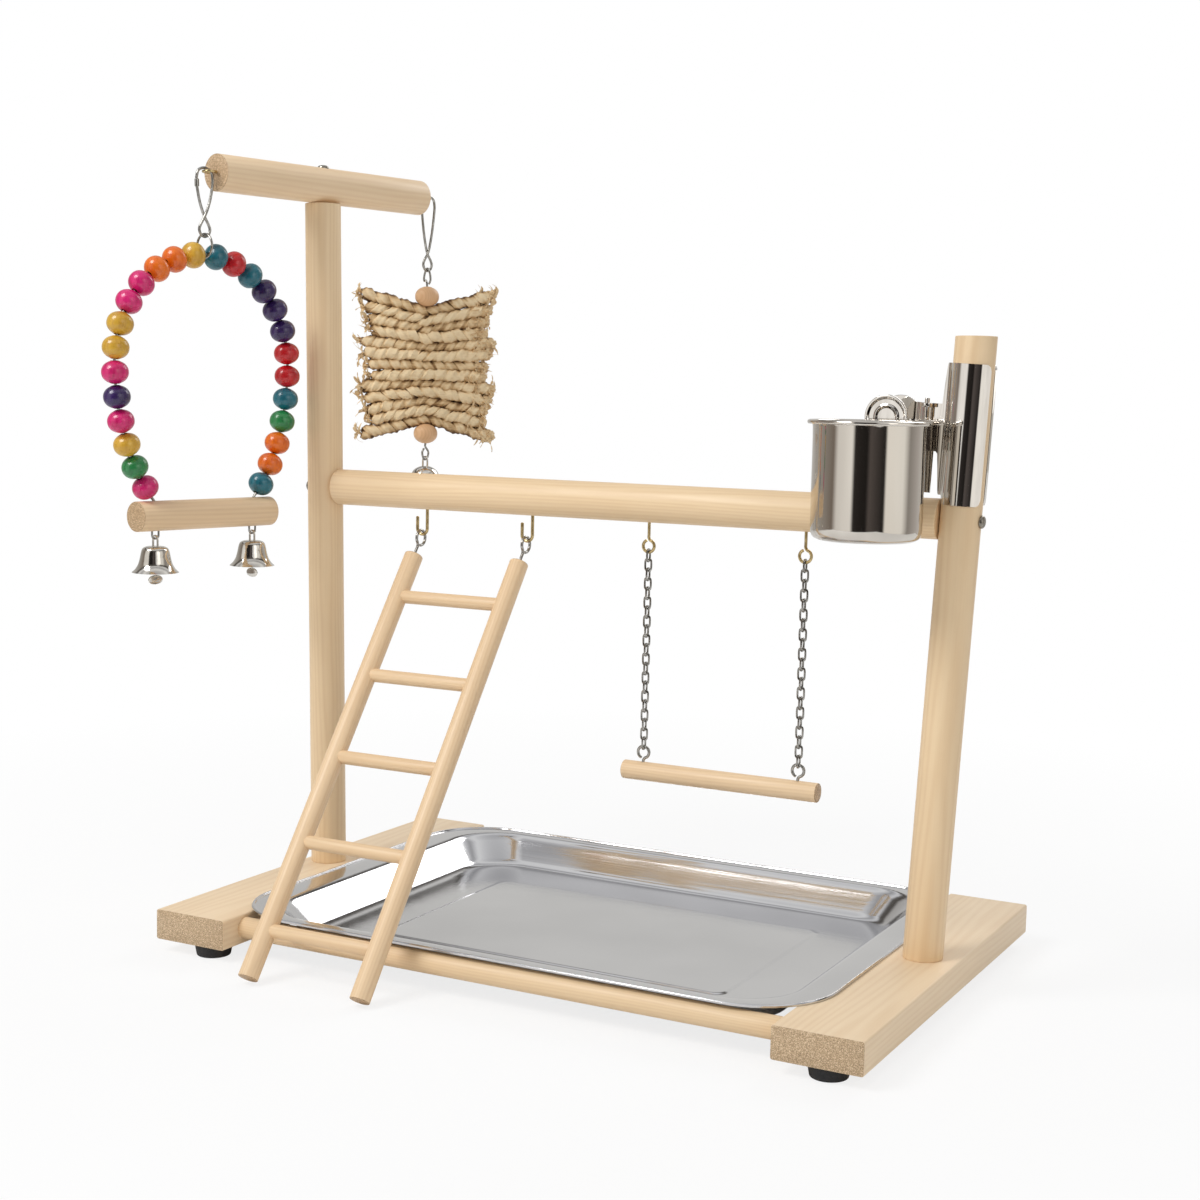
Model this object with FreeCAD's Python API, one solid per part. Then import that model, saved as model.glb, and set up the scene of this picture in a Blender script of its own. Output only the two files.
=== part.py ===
import FreeCAD, Part
import math
import os

# Parrot play stand: two foot boards and two dowel rails carry a steel tray and two posts,
# which hold a crossbar and a top perch with hanging toys, a swing, a ladder and a feeder cup.
# Lengths in millimetres, angles in degrees. Heights called "height" are over the board tops.

SIZES = (
    ("stand_x", 15.15, "stand centre in the part's frame"),
    ("stand_y", 15.4, "stand centre in the part's frame"),
    ("board_width", 55, "foot board, across"),
    ("board_length", 325, "foot board, front to back"),
    ("board_thickness", 20, "foot board"),
    ("board_spacing", 437, "foot boards, centre to centre"),
    ("board_round", 1.5, "rounding of the boards' long edges"),
    ("foot_height", 8, "rubber foot"),
    ("foot_top_diameter", 25, "rubber foot"),
    ("foot_bottom_diameter", 22, "rubber foot"),
    ("foot_recess_diameter", 9, "recess for the screw in a rubber foot"),
    ("foot_recess_depth", 4, "recess for the screw in a rubber foot"),
    ("foot_end_inset", 14, "foot centre to board end"),
    ("foot_screw_head", 7.5, "screw in each rubber foot"),
    ("foot_screw_length", 16, "screw in each rubber foot"),
    ("wood_screw_head", 8, "screws in the crossbar's ends and the top perch"),
    ("wood_screw_shank", 4, "screws in the feet, the crossbar's ends and the top perch"),
    ("left_foot_shift", 9, "left feet, inwards from the board's middle line"),
    ("right_foot_shift", 2.5, "right feet, outwards from the board's middle line"),
    ("rail_diameter", 14, "dowel rails between the boards"),
    ("front_rail_inset", 22.5, "front rail centre to board end"),
    ("rear_rail_inset", 11, "rear rail centre to board end, clear of the tray wall"),
    ("rail_drop", 9.5, "rail centre under the board tops"),
    ("rail_socket", 10, "depth of the rail in each board"),
    ("perch_diameter", 25, "posts, crossbar and top perch"),
    ("post_row_y", 5, "line of both posts, behind the stand centre"),
    ("left_post_inset", 17.5, "left post foot to outer board edge"),
    ("left_post_height", 472, "left post over the board"),
    ("left_post_lean", 1.05, "left post, outwards"),
    ("right_post_inset", 23, "right post foot to outer board edge"),
    ("right_post_height", 383, "right post over the board"),
    ("right_post_lean", 2.56, "right post, outwards"),
    ("post_screw_length", 52, "screw from below into each post"),
    ("post_screw_head", 9, "screw from below into each post"),
    ("post_screw_shank", 5, "screw from below into each post"),
    ("post_screw_well", 3.5, "depth of the well for its head"),
    ("post_well_diameter", 12, "well for its head"),
    ("crossbar_height", 273, "crossbar axis"),
    ("bar_screw_length", 55, "screw through each post into the crossbar"),
    ("perch_screw_length", 60, "screw through the top perch into its post"),
    ("top_perch_angle", 78, "top perch, turned from the crossbar"),
    ("top_perch_front", 95, "top perch in front of its post"),
    ("top_perch_rear", 95, "top perch behind its post"),
    ("perch_eye_radius", 4.3, "screw eyes in the top perch's ends"),
    ("perch_eye_reach", 9.6, "perch end to the middle of the eye's outer wire"),
    ("eye_wire", 2.0, "wire of the screw eyes"),
    ("eye_shank", 24, "screw eye shank in the wood and over it"),
    ("hook_wire", 2.2, "wire of the ladder's cup hooks"),
    ("hook_radius", 4, "bend of the ladder's cup hooks"),
    ("hook_hold", 8.5, "cup hook's shank in the wood"),
    ("hook_drop", 17.5, "crossbar's underside to the bottom of a cup hook"),
    ("snap_wire", 1.6, "wire of the snap hooks"),
    ("snap_drop", 43, "front snap hook, eye wire to its own bottom wire"),
    ("toy_snap_drop", 53, "rear snap hook, eye wire to its own bottom wire"),
    ("bead_ring_radius", 7.8, "ring between snap hook and bead arch"),
    ("arch_wire", 2.0, "wire of the bead arch"),
    ("arch_half_width", 72.5, "bead arch at its widest"),
    ("arch_top_rise", 72, "bead arch over its widest place"),
    ("arch_foot_drop", 91, "bead arch under its widest place"),
    ("arch_foot_half_width", 42, "bead arch where it meets the perch"),
    ("bead_diameter", 17.5, "wooden beads"),
    ("bead_bore", 4.4, "wooden beads"),
    ("bead_count", 26, "wooden beads on the arch, an even number"),
    ("bead_gap", 1.1, "between neighbouring beads"),
    ("bead_top_gap", 3.2, "between the two middle beads, for the ring"),
    ("bead_end_gap", 3.4, "last bead to the bead perch, along the wire"),
    ("bead_perch_length", 113, "perch under the bead arch"),
    ("bead_perch_diameter", 20, "perch under the bead arch"),
    ("staple_wire", 1.4, "wire of the bells' staples and loops"),
    ("staple_drop", 5, "bell staple under its perch"),
    ("bell_drop", 5, "staple wire to the bell's crown"),
    ("bell_spacing", 82, "bells under the bead perch"),
    ("bell_mouth_diameter", 31, "flared bell"),
    ("bell_height", 17.5, "flared bell"),
    ("bell_wall", 1.1, "flared and round bells"),
    ("toy_length", 118.5, "husk toy, loop to loop"),
    ("toy_wire", 1.6, "core wire of the husk toy"),
    ("toy_bead_diameter", 18, "beads of the husk toy"),
    ("husk_width", 108, "husk rows, side to side"),
    ("husk_rows", 13, "husk rows"),
    ("husk_depth", 10, "husk rows, front to back"),
    ("husk_fan", 14, "how far the outer rows' ends fan out past their middles"),
    ("husk_gap", 0.5, "between neighbouring husk rows"),
    ("husk_turn", 36, "husk rows, turned from the crossbar"),
    ("dome_diameter", 24, "round bell of the husk toy"),
    ("ladder_left_x", -150.5, "left ladder hook, from the stand centre"),
    ("ladder_spacing", 84.5, "ladder rails, centre to centre"),
    ("ladder_rail_diameter", 13, "ladder rails"),
    ("ladder_rail_length", 312, "ladder rails"),
    ("ladder_eye_radius", 5.3, "screw eyes in the ladder rails"),
    ("ladder_eye_neck", 9.4, "ladder rail to its eye's ring"),
    ("rung_diameter", 9, "ladder rungs"),
    ("rung_count", 5, "ladder rungs"),
    ("rung_pitch", 61.6, "ladder rungs"),
    ("rung_first", 33, "rail top to first rung"),
    ("swing_left_x", 26, "left swing chain, from the stand centre"),
    ("swing_chain_spacing", 110, "swing chains"),
    ("swing_eye_radius", 4, "screw eyes of the swing"),
    ("swing_eye_drop", 19.5, "crossbar's underside to the bottom of a swing eye"),
    ("link_pitch", 6.25, "chain links"),
    ("link_wire", 1.4, "chain links"),
    ("link_count", 21, "chain links, an odd number"),
    ("swing_perch_diameter", 12.5, "perch of the chain swing"),
    ("swing_perch_length", 138, "perch of the chain swing"),
    ("tray_rest", 15, "tray rim lying on each board, on average"),
    ("tray_width", 302, "tray over its rim"),
    ("tray_corner", 52, "tray corner radius"),
    ("tray_sheet", 0.8, "tray steel"),
    ("tray_depth", 20.5, "tray's underside below the board tops"),
    ("tray_lip", 1.9, "height of the tray's rolled edge"),
    ("tray_flange", 11, "tray flange at front and back"),
    ("tray_end_flange", 22, "tray flange over the boards"),
    ("tray_slope", 16, "how far the tray wall runs inwards"),
    ("tray_x", -2, "tray centre, from the stand centre"),
    ("tray_y", 6, "tray centre, from the stand centre"),
    ("panel_inset", 42, "raised panel, from the foot of the tray wall"),
    ("panel_rise", 1.4, "raised panel in the tray's floor"),
    ("cup_diameter", 66, "feeder cup body"),
    ("cup_rim_diameter", 73, "feeder cup rolled rim"),
    ("cup_height", 70, "feeder cup"),
    ("cup_wall", 0.9, "feeder cup"),
    ("cup_shift", 3.348, "feeder cup centre, outwards from the finger pad's middle"),
    ("cup_lift", 4.5, "cup top over the clamp's hinge middle"),
    ("clamp_height", 84.5, "clamp jaws"),
    ("clamp_overlap", 3.4, "clamp jaws below the top of the crossbar"),
    ("hinge_lift", 2.3, "clamp hinge middle over the jaws' middle"),
    ("clamp_sheet", 1.2, "clamp steel"),
    ("jaw_clearance", 0.4, "clamp jaws to the post"),
    ("pin_reach", 27, "clamp pin inside the post's axis"),
    ("pin_diameter", 3, "clamp pin"),
    ("pad_reach", 47.5, "finger pads inside the post's axis"),
    ("pad_diameter", 27.2, "finger pads"),
    ("pad_lift", 5, "finger pads over the hinge middle"),
    ("spring_wire", 1.3, "clamp spring"),
    ("spring_radius", 3.9, "clamp spring, to the wire's middle"),
    ("spring_pitch", 2.0, "clamp spring"),
    ("spring_turns", 4, "clamp spring"),
)

doc = FreeCAD.newDocument("play_stand")
sheet = doc.addObject("Spreadsheet::Sheet", "Sizes")
for row, (name, value, meaning) in enumerate(SIZES, start=1):
    sheet.set("A%d" % row, name)
    sheet.set("B%d" % row, str(value))
    sheet.set("C%d" % row, meaning)
    sheet.setAlias("B%d" % row, name)
doc.recompute()


def size(name):
    return float(sheet.get(name))


X = FreeCAD.Vector(1, 0, 0)
Y = FreeCAD.Vector(0, 1, 0)
Z = FreeCAD.Vector(0, 0, 1)
touch = 0.25

board_top = size("foot_height") + size("board_thickness")
wood_radius = size("perch_diameter") / 2


def at(x, y, height):
    """A point measured from the stand's centre, at a height over the board tops."""
    return FreeCAD.Vector(size("stand_x") + x, size("stand_y") + y, board_top + height)


def add(label, *solids):
    """A document object that carries one finished piece, or a group of like pieces."""
    piece = doc.addObject("Part::Feature", label)
    piece.Label = label
    piece.Shape = solids[0] if len(solids) == 1 else Part.makeCompound(list(solids))


def rod(start, end, radius):
    """A round bar from one point to another."""
    return Part.makeCylinder(radius, (end - start).Length, start, end - start)


def direction(angle):
    """A level direction, turned from +X towards +Y."""
    return FreeCAD.Vector(math.cos(math.radians(angle)), math.sin(math.radians(angle)), 0)


def flat_shell(rings, closed=False):
    """A solid with flat sides through rings of equally many corners. A side whose corners
    aren't in one plane is split into two triangles."""
    count = len(rings[0])
    faces = []
    pairs = list(zip(rings, rings[1:]))
    if closed:
        pairs.append((rings[-1], rings[0]))
    for low, high in pairs:
        for i in range(count):
            j = (i + 1) % count
            corners = [low[i], low[j], high[j], high[i]]
            facing = (corners[2] - corners[0]).cross(corners[3] - corners[1])
            off_plane = abs((corners[1] - corners[0]).dot(facing)) / facing.Length
            cuts = [corners] if off_plane < 1e-6 else [corners[:3], corners[2:] + corners[:1]]
            for cut in cuts:
                faces.append(Part.Face(Part.makePolygon(cut + cut[:1])))
    if not closed:
        for ring in (rings[0], rings[-1]):
            faces.append(Part.Face(Part.makePolygon(ring + [ring[0]])))
    solid = Part.Solid(Part.makeShell(faces))
    if solid.Volume < 0:
        solid.reverse()
    return solid


def spun(profile, origin, axis, sides):
    """A profile of (radius, along) pairs spun round an axis in flats. It is walked from the
    middle of one end to the middle of the other, and flat discs close it there."""
    turn = FreeCAD.Rotation(Z, axis)
    rings = []
    for radius, along in profile:
        rings.append([origin + turn.multVec(direction(360 * k / sides) * radius + Z * along)
                      for k in range(sides)])
    return flat_shell(rings)


def flat_rod(start, end, radius, sides):
    """A straight bar with as many flats."""
    return spun(((radius, 0), (radius, (end - start).Length)), start, end - start, sides)


def bent_wire(points, diameter, sides=6, closed=False):
    """Wire bent sharply at each point, with a flat-sided section that is mitred at the bends."""
    count = len(points)
    legs = []
    for i in range(count if closed else count - 1):
        legs.append((points[(i + 1) % count] - points[i]).normalize())
    along = legs[0]
    helper = Z if abs(along.z) < 0.9 else X
    across = along.cross(helper).normalize()
    upright = along.cross(across)
    middle = (points[0] + points[1]) * 0.5
    ring = []
    for k in range(sides):
        turn = 2 * math.pi * (k + 0.5) / sides
        ring.append(middle + (across * math.cos(turn) + upright * math.sin(turn)) * diameter * 0.5)

    def slide(corners, leg, point, normal):
        """Carry the section's corners along a leg to the plane of the next mitre."""
        return [c + leg * ((point - c).dot(normal) / leg.dot(normal)) for c in corners]

    rings = []
    if not closed:
        rings.append(slide(ring, legs[0], points[0], legs[0]))
    for i in range(1, count + 1 if closed else count):
        leg = legs[i - 1]
        if i < count - 1 or closed:
            normal = (leg + legs[i % len(legs)]).normalize()
        else:
            normal = leg
        ring = slide(ring, leg, points[i % count], normal)
        rings.append(ring)
    return flat_shell(rings, closed)


def plane_points(origin, side, rise, pairs):
    """Points given as (sideways, upwards) pairs in a plane."""
    return [origin + side * a + rise * b for a, b in pairs]


def arc_pairs(radius, start, end, steps):
    """Pairs round an arc, from one angle to another."""
    pairs = []
    for k in range(steps + 1):
        turn = math.radians(start + (end - start) * k / steps)
        pairs.append((radius * math.cos(turn), radius * math.sin(turn)))
    return pairs


def screw_eye(middle, side, rise, radius, shank):
    """A screw eye: a nearly closed ring with its shank going up from it."""
    pairs = [(0, radius + shank), (0, radius + 1.5)] + arc_pairs(radius, 70, -240, 8)
    return bent_wire(plane_points(middle, side, rise, pairs), size("eye_wire"))


def pan_screw(seat, into, head_diameter, shank_diameter, length):
    """A pan-head screw, its head seated at a point and its tip in the wood."""
    head = head_diameter / 2
    shank = shank_diameter / 2
    profile = ((0.3, -length), (shank, 2 * shank - length), (shank, 0), (head, 0), (head, 0.3 * head),
               (0.75 * head, 0.6 * head))
    return spun(profile, seat, into * -1, 8)


def flat_bead(centre, along, length, diameter, bore, sides=8):
    """A barrel-shaped bead with flat facets and a six-sided hole."""
    radius = diameter / 2
    bead = spun(((0.5 * radius, -length / 2), (radius, -0.2 * length), (radius, 0.2 * length),
                 (0.5 * radius, length / 2)), centre, along, sides)
    reach = FreeCAD.Vector(along).normalize() * length
    return bead.cut(flat_rod(centre - reach, centre + reach, bore / 2, 6))


# Foot boards on rubber feet, with the two dowel rails let into their inner faces.

board_centres = {"left": -size("board_spacing") / 2, "right": size("board_spacing") / 2}
front_rail_y = size("front_rail_inset") - size("board_length") / 2
rear_rail_y = size("board_length") / 2 - size("rear_rail_inset")
rail_reach = size("board_spacing") / 2 - size("board_width") / 2 + size("rail_socket")
rails = {}
for name, y in (("front_base_rail", front_rail_y), ("rear_base_rail", rear_rail_y)):
    rails[name] = rod(at(-rail_reach, y, -size("rail_drop")), at(rail_reach, y, -size("rail_drop")),
                      size("rail_diameter") / 2)

post_feet = {
    "left": board_centres["left"] - size("board_width") / 2 + size("left_post_inset"),
    "right": board_centres["right"] + size("board_width") / 2 - size("right_post_inset"),
}
post_heights = {"left": size("left_post_height"), "right": size("right_post_height")}
post_leans = {"left": -size("left_post_lean"), "right": size("right_post_lean")}


def post_axis(side):
    """Direction of a leaning post."""
    lean = math.radians(post_leans[side])
    return FreeCAD.Vector(math.sin(lean), 0, math.cos(lean))


def post_point(side, height):
    """A point on a post's axis."""
    lean = math.tan(math.radians(post_leans[side]))
    return at(post_feet[side] + lean * height, size("post_row_y"), height)


foot_y = size("board_length") / 2 - size("foot_end_inset")
foot_rows = (board_centres["left"] + size("left_foot_shift"),
             board_centres["right"] + size("right_foot_shift"))
foot_recess = size("foot_recess_diameter") / 2
foot_profile = ((foot_recess, size("foot_recess_depth")), (foot_recess, 0),
                (size("foot_bottom_diameter") / 2, 0), (size("foot_top_diameter") / 2, size("foot_height")))
feet = []
foot_screws = []
for x in foot_rows:
    for y in (-foot_y, foot_y):
        floor = at(x, y, -board_top)
        screw = pan_screw(floor + Z * size("foot_recess_depth"), Z, size("foot_screw_head"),
                          size("wood_screw_shank"), size("foot_screw_length"))
        feet.append(spun(foot_profile, floor, Z, 16).cut(screw))
        foot_screws.append(screw)

post_screws = {}
for side in ("left", "right"):
    seat = at(post_feet[side], size("post_row_y"), size("post_screw_well") - size("board_thickness"))
    post_screws[side] = pan_screw(seat, Z, size("post_screw_head"), size("post_screw_shank"),
                                  size("post_screw_length"))

for side in ("left", "right"):
    corner = at(board_centres[side] - size("board_width") / 2, -size("board_length") / 2,
                -size("board_thickness"))
    board = Part.makeBox(size("board_width"), size("board_length"), size("board_thickness"), corner)
    long_edges = [e for e in board.Edges if abs(e.tangentAt(e.FirstParameter).y) > 0.9]
    board = board.makeFillet(size("board_round"), long_edges)
    well = at(post_feet[side], size("post_row_y"), -size("board_thickness"))
    board = board.cut(flat_rod(well, well + Z * size("post_screw_well"), size("post_well_diameter") / 2, 12))
    for fitted in [*rails.values(), *foot_screws, post_screws[side]]:
        board = board.cut(fitted)
    add(side + "_base_board", board)

for name, rail in rails.items():
    add(name, rail)
add("rubber_feet", *feet)
add("foot_screws", *foot_screws)

# Posts lean outwards a little; both ends are cut level. The crossbar is cut to their slope
# and one screw goes through each post into its end.

bar_height = size("crossbar_height")
bar_screws = {}
for side, outwards in (("left", -1), ("right", 1)):
    axis = post_axis(side)
    square = FreeCAD.Vector(axis.z, 0, -axis.x) * outwards
    seat = post_point(side, bar_height) + square * wood_radius
    bar_screws[side] = pan_screw(seat, square * -1, size("wood_screw_head"), size("wood_screw_shank"),
                                 size("bar_screw_length"))

top_direction = direction(size("top_perch_angle"))
top_across = FreeCAD.Vector(-top_direction.y, top_direction.x, 0)
perch_middle = post_point("left", post_heights["left"]) + Z * wood_radius
head_sink = 0.6
perch_screw = pan_screw(perch_middle + Z * (wood_radius - head_sink), Z * -1, size("wood_screw_head"),
                        size("wood_screw_shank"), size("perch_screw_length"))

for side in ("left", "right"):
    post = rod(post_point(side, -20), post_point(side, post_heights[side] + 20), wood_radius)
    corner = at(post_feet[side] - 100, -100, 0)
    post = post.common(Part.makeBox(200, 200, post_heights[side], corner))
    post = post.cut(post_screws[side]).cut(bar_screws[side])
    if side == "left":
        post = post.cut(perch_screw)
    add(side + "_post", post)
add("post_screws", *post_screws.values())


def inner_face(side, height):
    """Where a post's inner side is, at a height."""
    sign = 1 if side == "left" else -1
    slope = math.radians(post_leans[side])
    return post_point(side, height) + X * (sign * wood_radius / math.cos(slope))


bar_low = bar_height - 1.5 * wood_radius
bar_high = bar_height + 1.5 * wood_radius
outline = [inner_face("left", bar_low), inner_face("right", bar_low), inner_face("right", bar_high),
           inner_face("left", bar_high), inner_face("left", bar_low)]
wedge = Part.Face(Part.makePolygon(outline))
wedge.translate(Y * (-1.5 * wood_radius))
crossbar = rod(post_point("left", bar_height), post_point("right", bar_height), wood_radius)
crossbar = crossbar.common(wedge.extrude(Y * (3 * wood_radius)))
for screw in bar_screws.values():
    crossbar = crossbar.cut(screw)

# Cup hooks for the ladder and screw eyes for the swing, all in the crossbar's underside.

bar_under = bar_height - wood_radius
hook_bottom = bar_under - size("hook_drop")
hook_radius = size("hook_radius")
hook_rise = size("hook_drop") + size("hook_hold") - hook_radius
ladder_x = [size("ladder_left_x"), size("ladder_left_x") + size("ladder_spacing")]
hooks = []
for x in ladder_x:
    middle = at(x, size("post_row_y"), hook_bottom + hook_radius)
    pairs = [(hook_radius, hook_rise), (hook_radius, 2)] + arc_pairs(hook_radius, 0, -180, 6)
    pairs.append((-hook_radius, 2 * hook_radius))
    hooks.append(bent_wire(plane_points(middle, X, Z, pairs), size("hook_wire")))

eye_wire = size("eye_wire")
swing_eye_radius = size("swing_eye_radius")
swing_eye_height = bar_under - size("swing_eye_drop")
swing_x = [size("swing_left_x"), size("swing_left_x") + size("swing_chain_spacing")]
swing_eyes = [screw_eye(at(x, size("post_row_y"), swing_eye_height + swing_eye_radius), X, Z,
                        swing_eye_radius, size("eye_shank")) for x in swing_x]
for wire in hooks + swing_eyes:
    crossbar = crossbar.cut(wire)
add("crossbar", crossbar)
add("crossbar_screws", *bar_screws.values())
add("ladder_hooks", *hooks)
add("swing_eyes", *swing_eyes)

# Top perch across the left post, with a screw eye in each end grain.

front_end = perch_middle - top_direction * size("top_perch_front")
rear_end = perch_middle + top_direction * size("top_perch_rear")
front_pivot = front_end - top_direction * size("perch_eye_reach")
rear_pivot = rear_end + top_direction * size("perch_eye_reach")
top_perch = rod(front_end, rear_end, wood_radius).cut(perch_screw)
perch_eyes = {}
for name, pivot, inward in (("front_perch_eye", front_pivot, top_direction),
                            ("rear_perch_eye", rear_pivot, top_direction * -1)):
    eye = screw_eye(pivot + inward * size("perch_eye_radius"), inward.cross(Z), inward,
                    size("perch_eye_radius"), size("eye_shank"))
    perch_eyes[name] = eye
    top_perch = top_perch.cut(eye)
add("top_perch", top_perch)
add("top_perch_screw", perch_screw)
for name, eye in perch_eyes.items():
    add(name, eye)

# Ladder: it hangs from the cup hooks by screw eyes and leans forward to the floor.

ladder_pivot = at(0, size("post_row_y"), hook_bottom)
ladder_eye_radius = size("ladder_eye_radius")
seat_gap = (size("hook_wire") + eye_wire) / 2 + touch
rail_start = 2 * ladder_eye_radius + size("ladder_eye_neck") - seat_gap
ladder_reach = rail_start + size("ladder_rail_length")
toe = size("ladder_rail_diameter") / 2
lean = math.acos(ladder_pivot.z / math.hypot(ladder_reach, toe)) + math.atan2(toe, ladder_reach)
down = FreeCAD.Vector(0, -math.sin(lean), -math.cos(lean))
ladder_eyes = []
ladder_rails = []
for x in ladder_x:
    hinge = at(x, size("post_row_y"), hook_bottom)
    middle = hinge + down * (ladder_eye_radius - seat_gap)
    ladder_eyes.append(screw_eye(middle, down.cross(X), down, ladder_eye_radius, size("eye_shank")))
    head = hinge + down * rail_start
    ladder_rails.append(rod(head, head + down * size("ladder_rail_length"), toe))
rungs = []
for k in range(int(size("rung_count"))):
    drop = down * (rail_start + size("rung_first") + k * size("rung_pitch"))
    left = at(ladder_x[0] - 2, size("post_row_y"), hook_bottom) + drop
    right = at(ladder_x[1] + 2, size("post_row_y"), hook_bottom) + drop
    rungs.append(flat_rod(left, right, size("rung_diameter") / 2, 10))
for i, name in enumerate(("left_ladder_rail", "right_ladder_rail")):
    rail = ladder_rails[i].cut(ladder_eyes[i])
    for rung in rungs:
        rail = rail.cut(rung)
    add(name, rail)
add("ladder_rungs", *rungs)
add("ladder_eyes", *ladder_eyes)

# Chain swing: interlocked links, every second one turned a quarter turn.

link_wire = size("link_wire")
link_tall = size("link_pitch") + link_wire + 0.4
link_half = link_wire + 0.75
first_link_top = swing_eye_height + eye_wire / 2 + link_wire / 2 + touch


def chain_link(middle, side):
    """One closed link, standing in the plane of Z and a side direction."""
    end = link_tall / 2
    shoulder = end - 0.9 * link_wire
    pairs = ((link_half, shoulder), (0, end), (-link_half, shoulder), (-link_half, -shoulder), (0, -end),
             (link_half, -shoulder))
    return bent_wire(plane_points(middle, side, Z, pairs), link_wire, 5, True)


link_count = int(size("link_count"))
for name, x in (("left_chain", swing_x[0]), ("right_chain", swing_x[1])):
    links = []
    for k in range(link_count):
        middle = at(x, size("post_row_y"), first_link_top - link_tall / 2 - k * size("link_pitch"))
        links.append(chain_link(middle, Y if k % 2 == 0 else X))
    add(name, *links)

chain_bottom = first_link_top - link_tall - (link_count - 1) * size("link_pitch")
perch_eye_height = chain_bottom + link_wire / 2 + eye_wire / 2 + touch
swing_perch_height = perch_eye_height - 2 * swing_eye_radius - 2.5 - size("swing_perch_diameter") / 2
swing_middle = (swing_x[0] + swing_x[1]) / 2
half_perch = size("swing_perch_length") / 2
swing_perch = rod(at(swing_middle - half_perch, size("post_row_y"), swing_perch_height),
                  at(swing_middle + half_perch, size("post_row_y"), swing_perch_height),
                  size("swing_perch_diameter") / 2)
swing_perch_eyes = []
for x in swing_x:
    middle = at(x, size("post_row_y"), perch_eye_height - swing_eye_radius)
    eye = screw_eye(middle, X, Z * -1, swing_eye_radius, size("swing_perch_diameter") - 1.5)
    swing_perch_eyes.append(eye)
    swing_perch = swing_perch.cut(eye)
add("swing_perch", swing_perch)
add("swing_perch_eyes", *swing_perch_eyes)


def snap_hook(pivot, side, outwards, drop):
    """A wire snap hook: an arch over the eye, a crossed waist and a drop-shaped lower loop."""
    waist = 14.5 - drop
    upper = (-10 + waist) / 2
    plan = ((6.4, -10, 0), (3.6, upper - 1, 0.5), (0, waist, 1), (-3.6, waist - 6.5, 0.5),
            (-4.4, waist - 10, 0), (-3.0, 1.2 - drop, 0), (-1.2, -drop, 0), (1.2, -drop, 0),
            (3.0, 1.2 - drop, 0), (4.4, waist - 10, 0), (3.6, waist - 6.5, -0.5), (0, waist, -1),
            (-3.6, upper - 1, -0.5),
            (-6.4, -10, 0), (-6.6, -4, 0), (-5.0, 0.4, 0), (-2.2, 2.05, 0), (2.2, 2.05, 0), (5.0, 0.4, 0),
            (6.6, -4, 0), (6.5, -6.0, 0))
    points = [pivot + side * a + Z * b + outwards * (0.9 * c) for a, b, c in plan]
    sleeve = flat_rod(pivot + side * 6.5 - Z * 6.05, pivot + side * 6.4 - Z * 9.95, 1.5, 8)
    return bent_wire(points, size("snap_wire")), sleeve


# Left snap hook and ring, and the bead swing that hangs from them: an arch of wooden beads
# on a wire, whose ends are let into a round perch.

add("bead_snap_hook", *snap_hook(front_pivot, top_direction * -1, top_across, size("snap_drop")))
snap_wire = size("snap_wire")
ring_radius = size("bead_ring_radius")
ring_middle = front_pivot - Z * (size("snap_drop") - snap_wire + ring_radius - touch)
ring_pairs = arc_pairs(ring_radius / math.cos(math.pi / 12), 15, 345, 11)
add("bead_ring", bent_wire(plane_points(ring_middle, top_across, Z, ring_pairs), snap_wire, closed=True))

arch_wire = size("arch_wire")
arch_pivot = ring_middle - Z * (ring_radius - snap_wire / 2 - arch_wire / 2 - touch)
widest = arch_pivot - Z * size("arch_top_rise")
arch_foot = size("arch_foot_drop")
foot_share = size("arch_foot_half_width") / size("arch_half_width")
lower_axis = arch_foot / math.sqrt(1 - foot_share ** 2)
foot_turn = -math.asin(arch_foot / lower_axis)
fine_count = 720
fine = []
for k in range(fine_count + 1):
    turn = foot_turn + (math.pi / 2 - foot_turn) * k / fine_count
    rise = math.sin(turn) * (size("arch_top_rise") if turn > 0 else lower_axis)
    fine.append((size("arch_half_width") * math.cos(turn), rise))
lengths = [0.0]
for a, b in zip(fine, fine[1:]):
    lengths.append(lengths[-1] + math.dist(a, b))
half_arch = lengths[-1]


def arch_at(length):
    """Place on the arch at a length from its top, positive to the rear. Its line is a half
    ellipse above the widest place and a longer one below, walked by length."""
    wanted = half_arch - abs(length)
    index = min(max(sum(1 for v in lengths if v < wanted), 1), fine_count)
    a, b = fine[index - 1], fine[index]
    share = (wanted - lengths[index - 1]) / (lengths[index] - lengths[index - 1])
    across = a[0] + (b[0] - a[0]) * share
    rise = a[1] + (b[1] - a[1]) * share
    return widest + top_direction * math.copysign(across, length) + Z * rise


half_count = int(size("bead_count")) // 2
top_gap = size("bead_top_gap") / 2
bead_pitch = (half_arch - top_gap - size("bead_end_gap")) / half_count
bead_colours = ("pink", "green", "yellow", "pink", "purple", "pink", "yellow", "yellow", "pink", "pink",
                "orange", "orange", "yellow", "teal", "red", "teal", "purple", "purple", "purple", "red",
                "red", "teal", "green", "orange", "orange", "teal")
joints = [-(top_gap + k * bead_pitch) for k in range(half_count, -1, -1)]
joints += [top_gap + k * bead_pitch for k in range(half_count + 1)]
spots = [arch_at(length) for length in joints]
beads = {}
placed = 0
for k, (a, b) in enumerate(zip(spots, spots[1:])):
    if k == half_count:
        continue
    bead = flat_bead((a + b) * 0.5, b - a, (b - a).Length - size("bead_gap"), size("bead_diameter"),
                     size("bead_bore"))
    beads.setdefault(bead_colours[placed % len(bead_colours)], []).append(bead)
    placed += 1
for colour, group in beads.items():
    add(colour + "_beads", *group)

let_in = 12
arch_ends = [arch_at(-half_arch), arch_at(half_arch)]
wire_points = [arch_ends[0] - Z * let_in, *arch_ends[:1], *spots, *arch_ends[1:], arch_ends[1] - Z * let_in]
arch = bent_wire(wire_points, arch_wire)
add("bead_arch_wire", arch)

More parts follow.
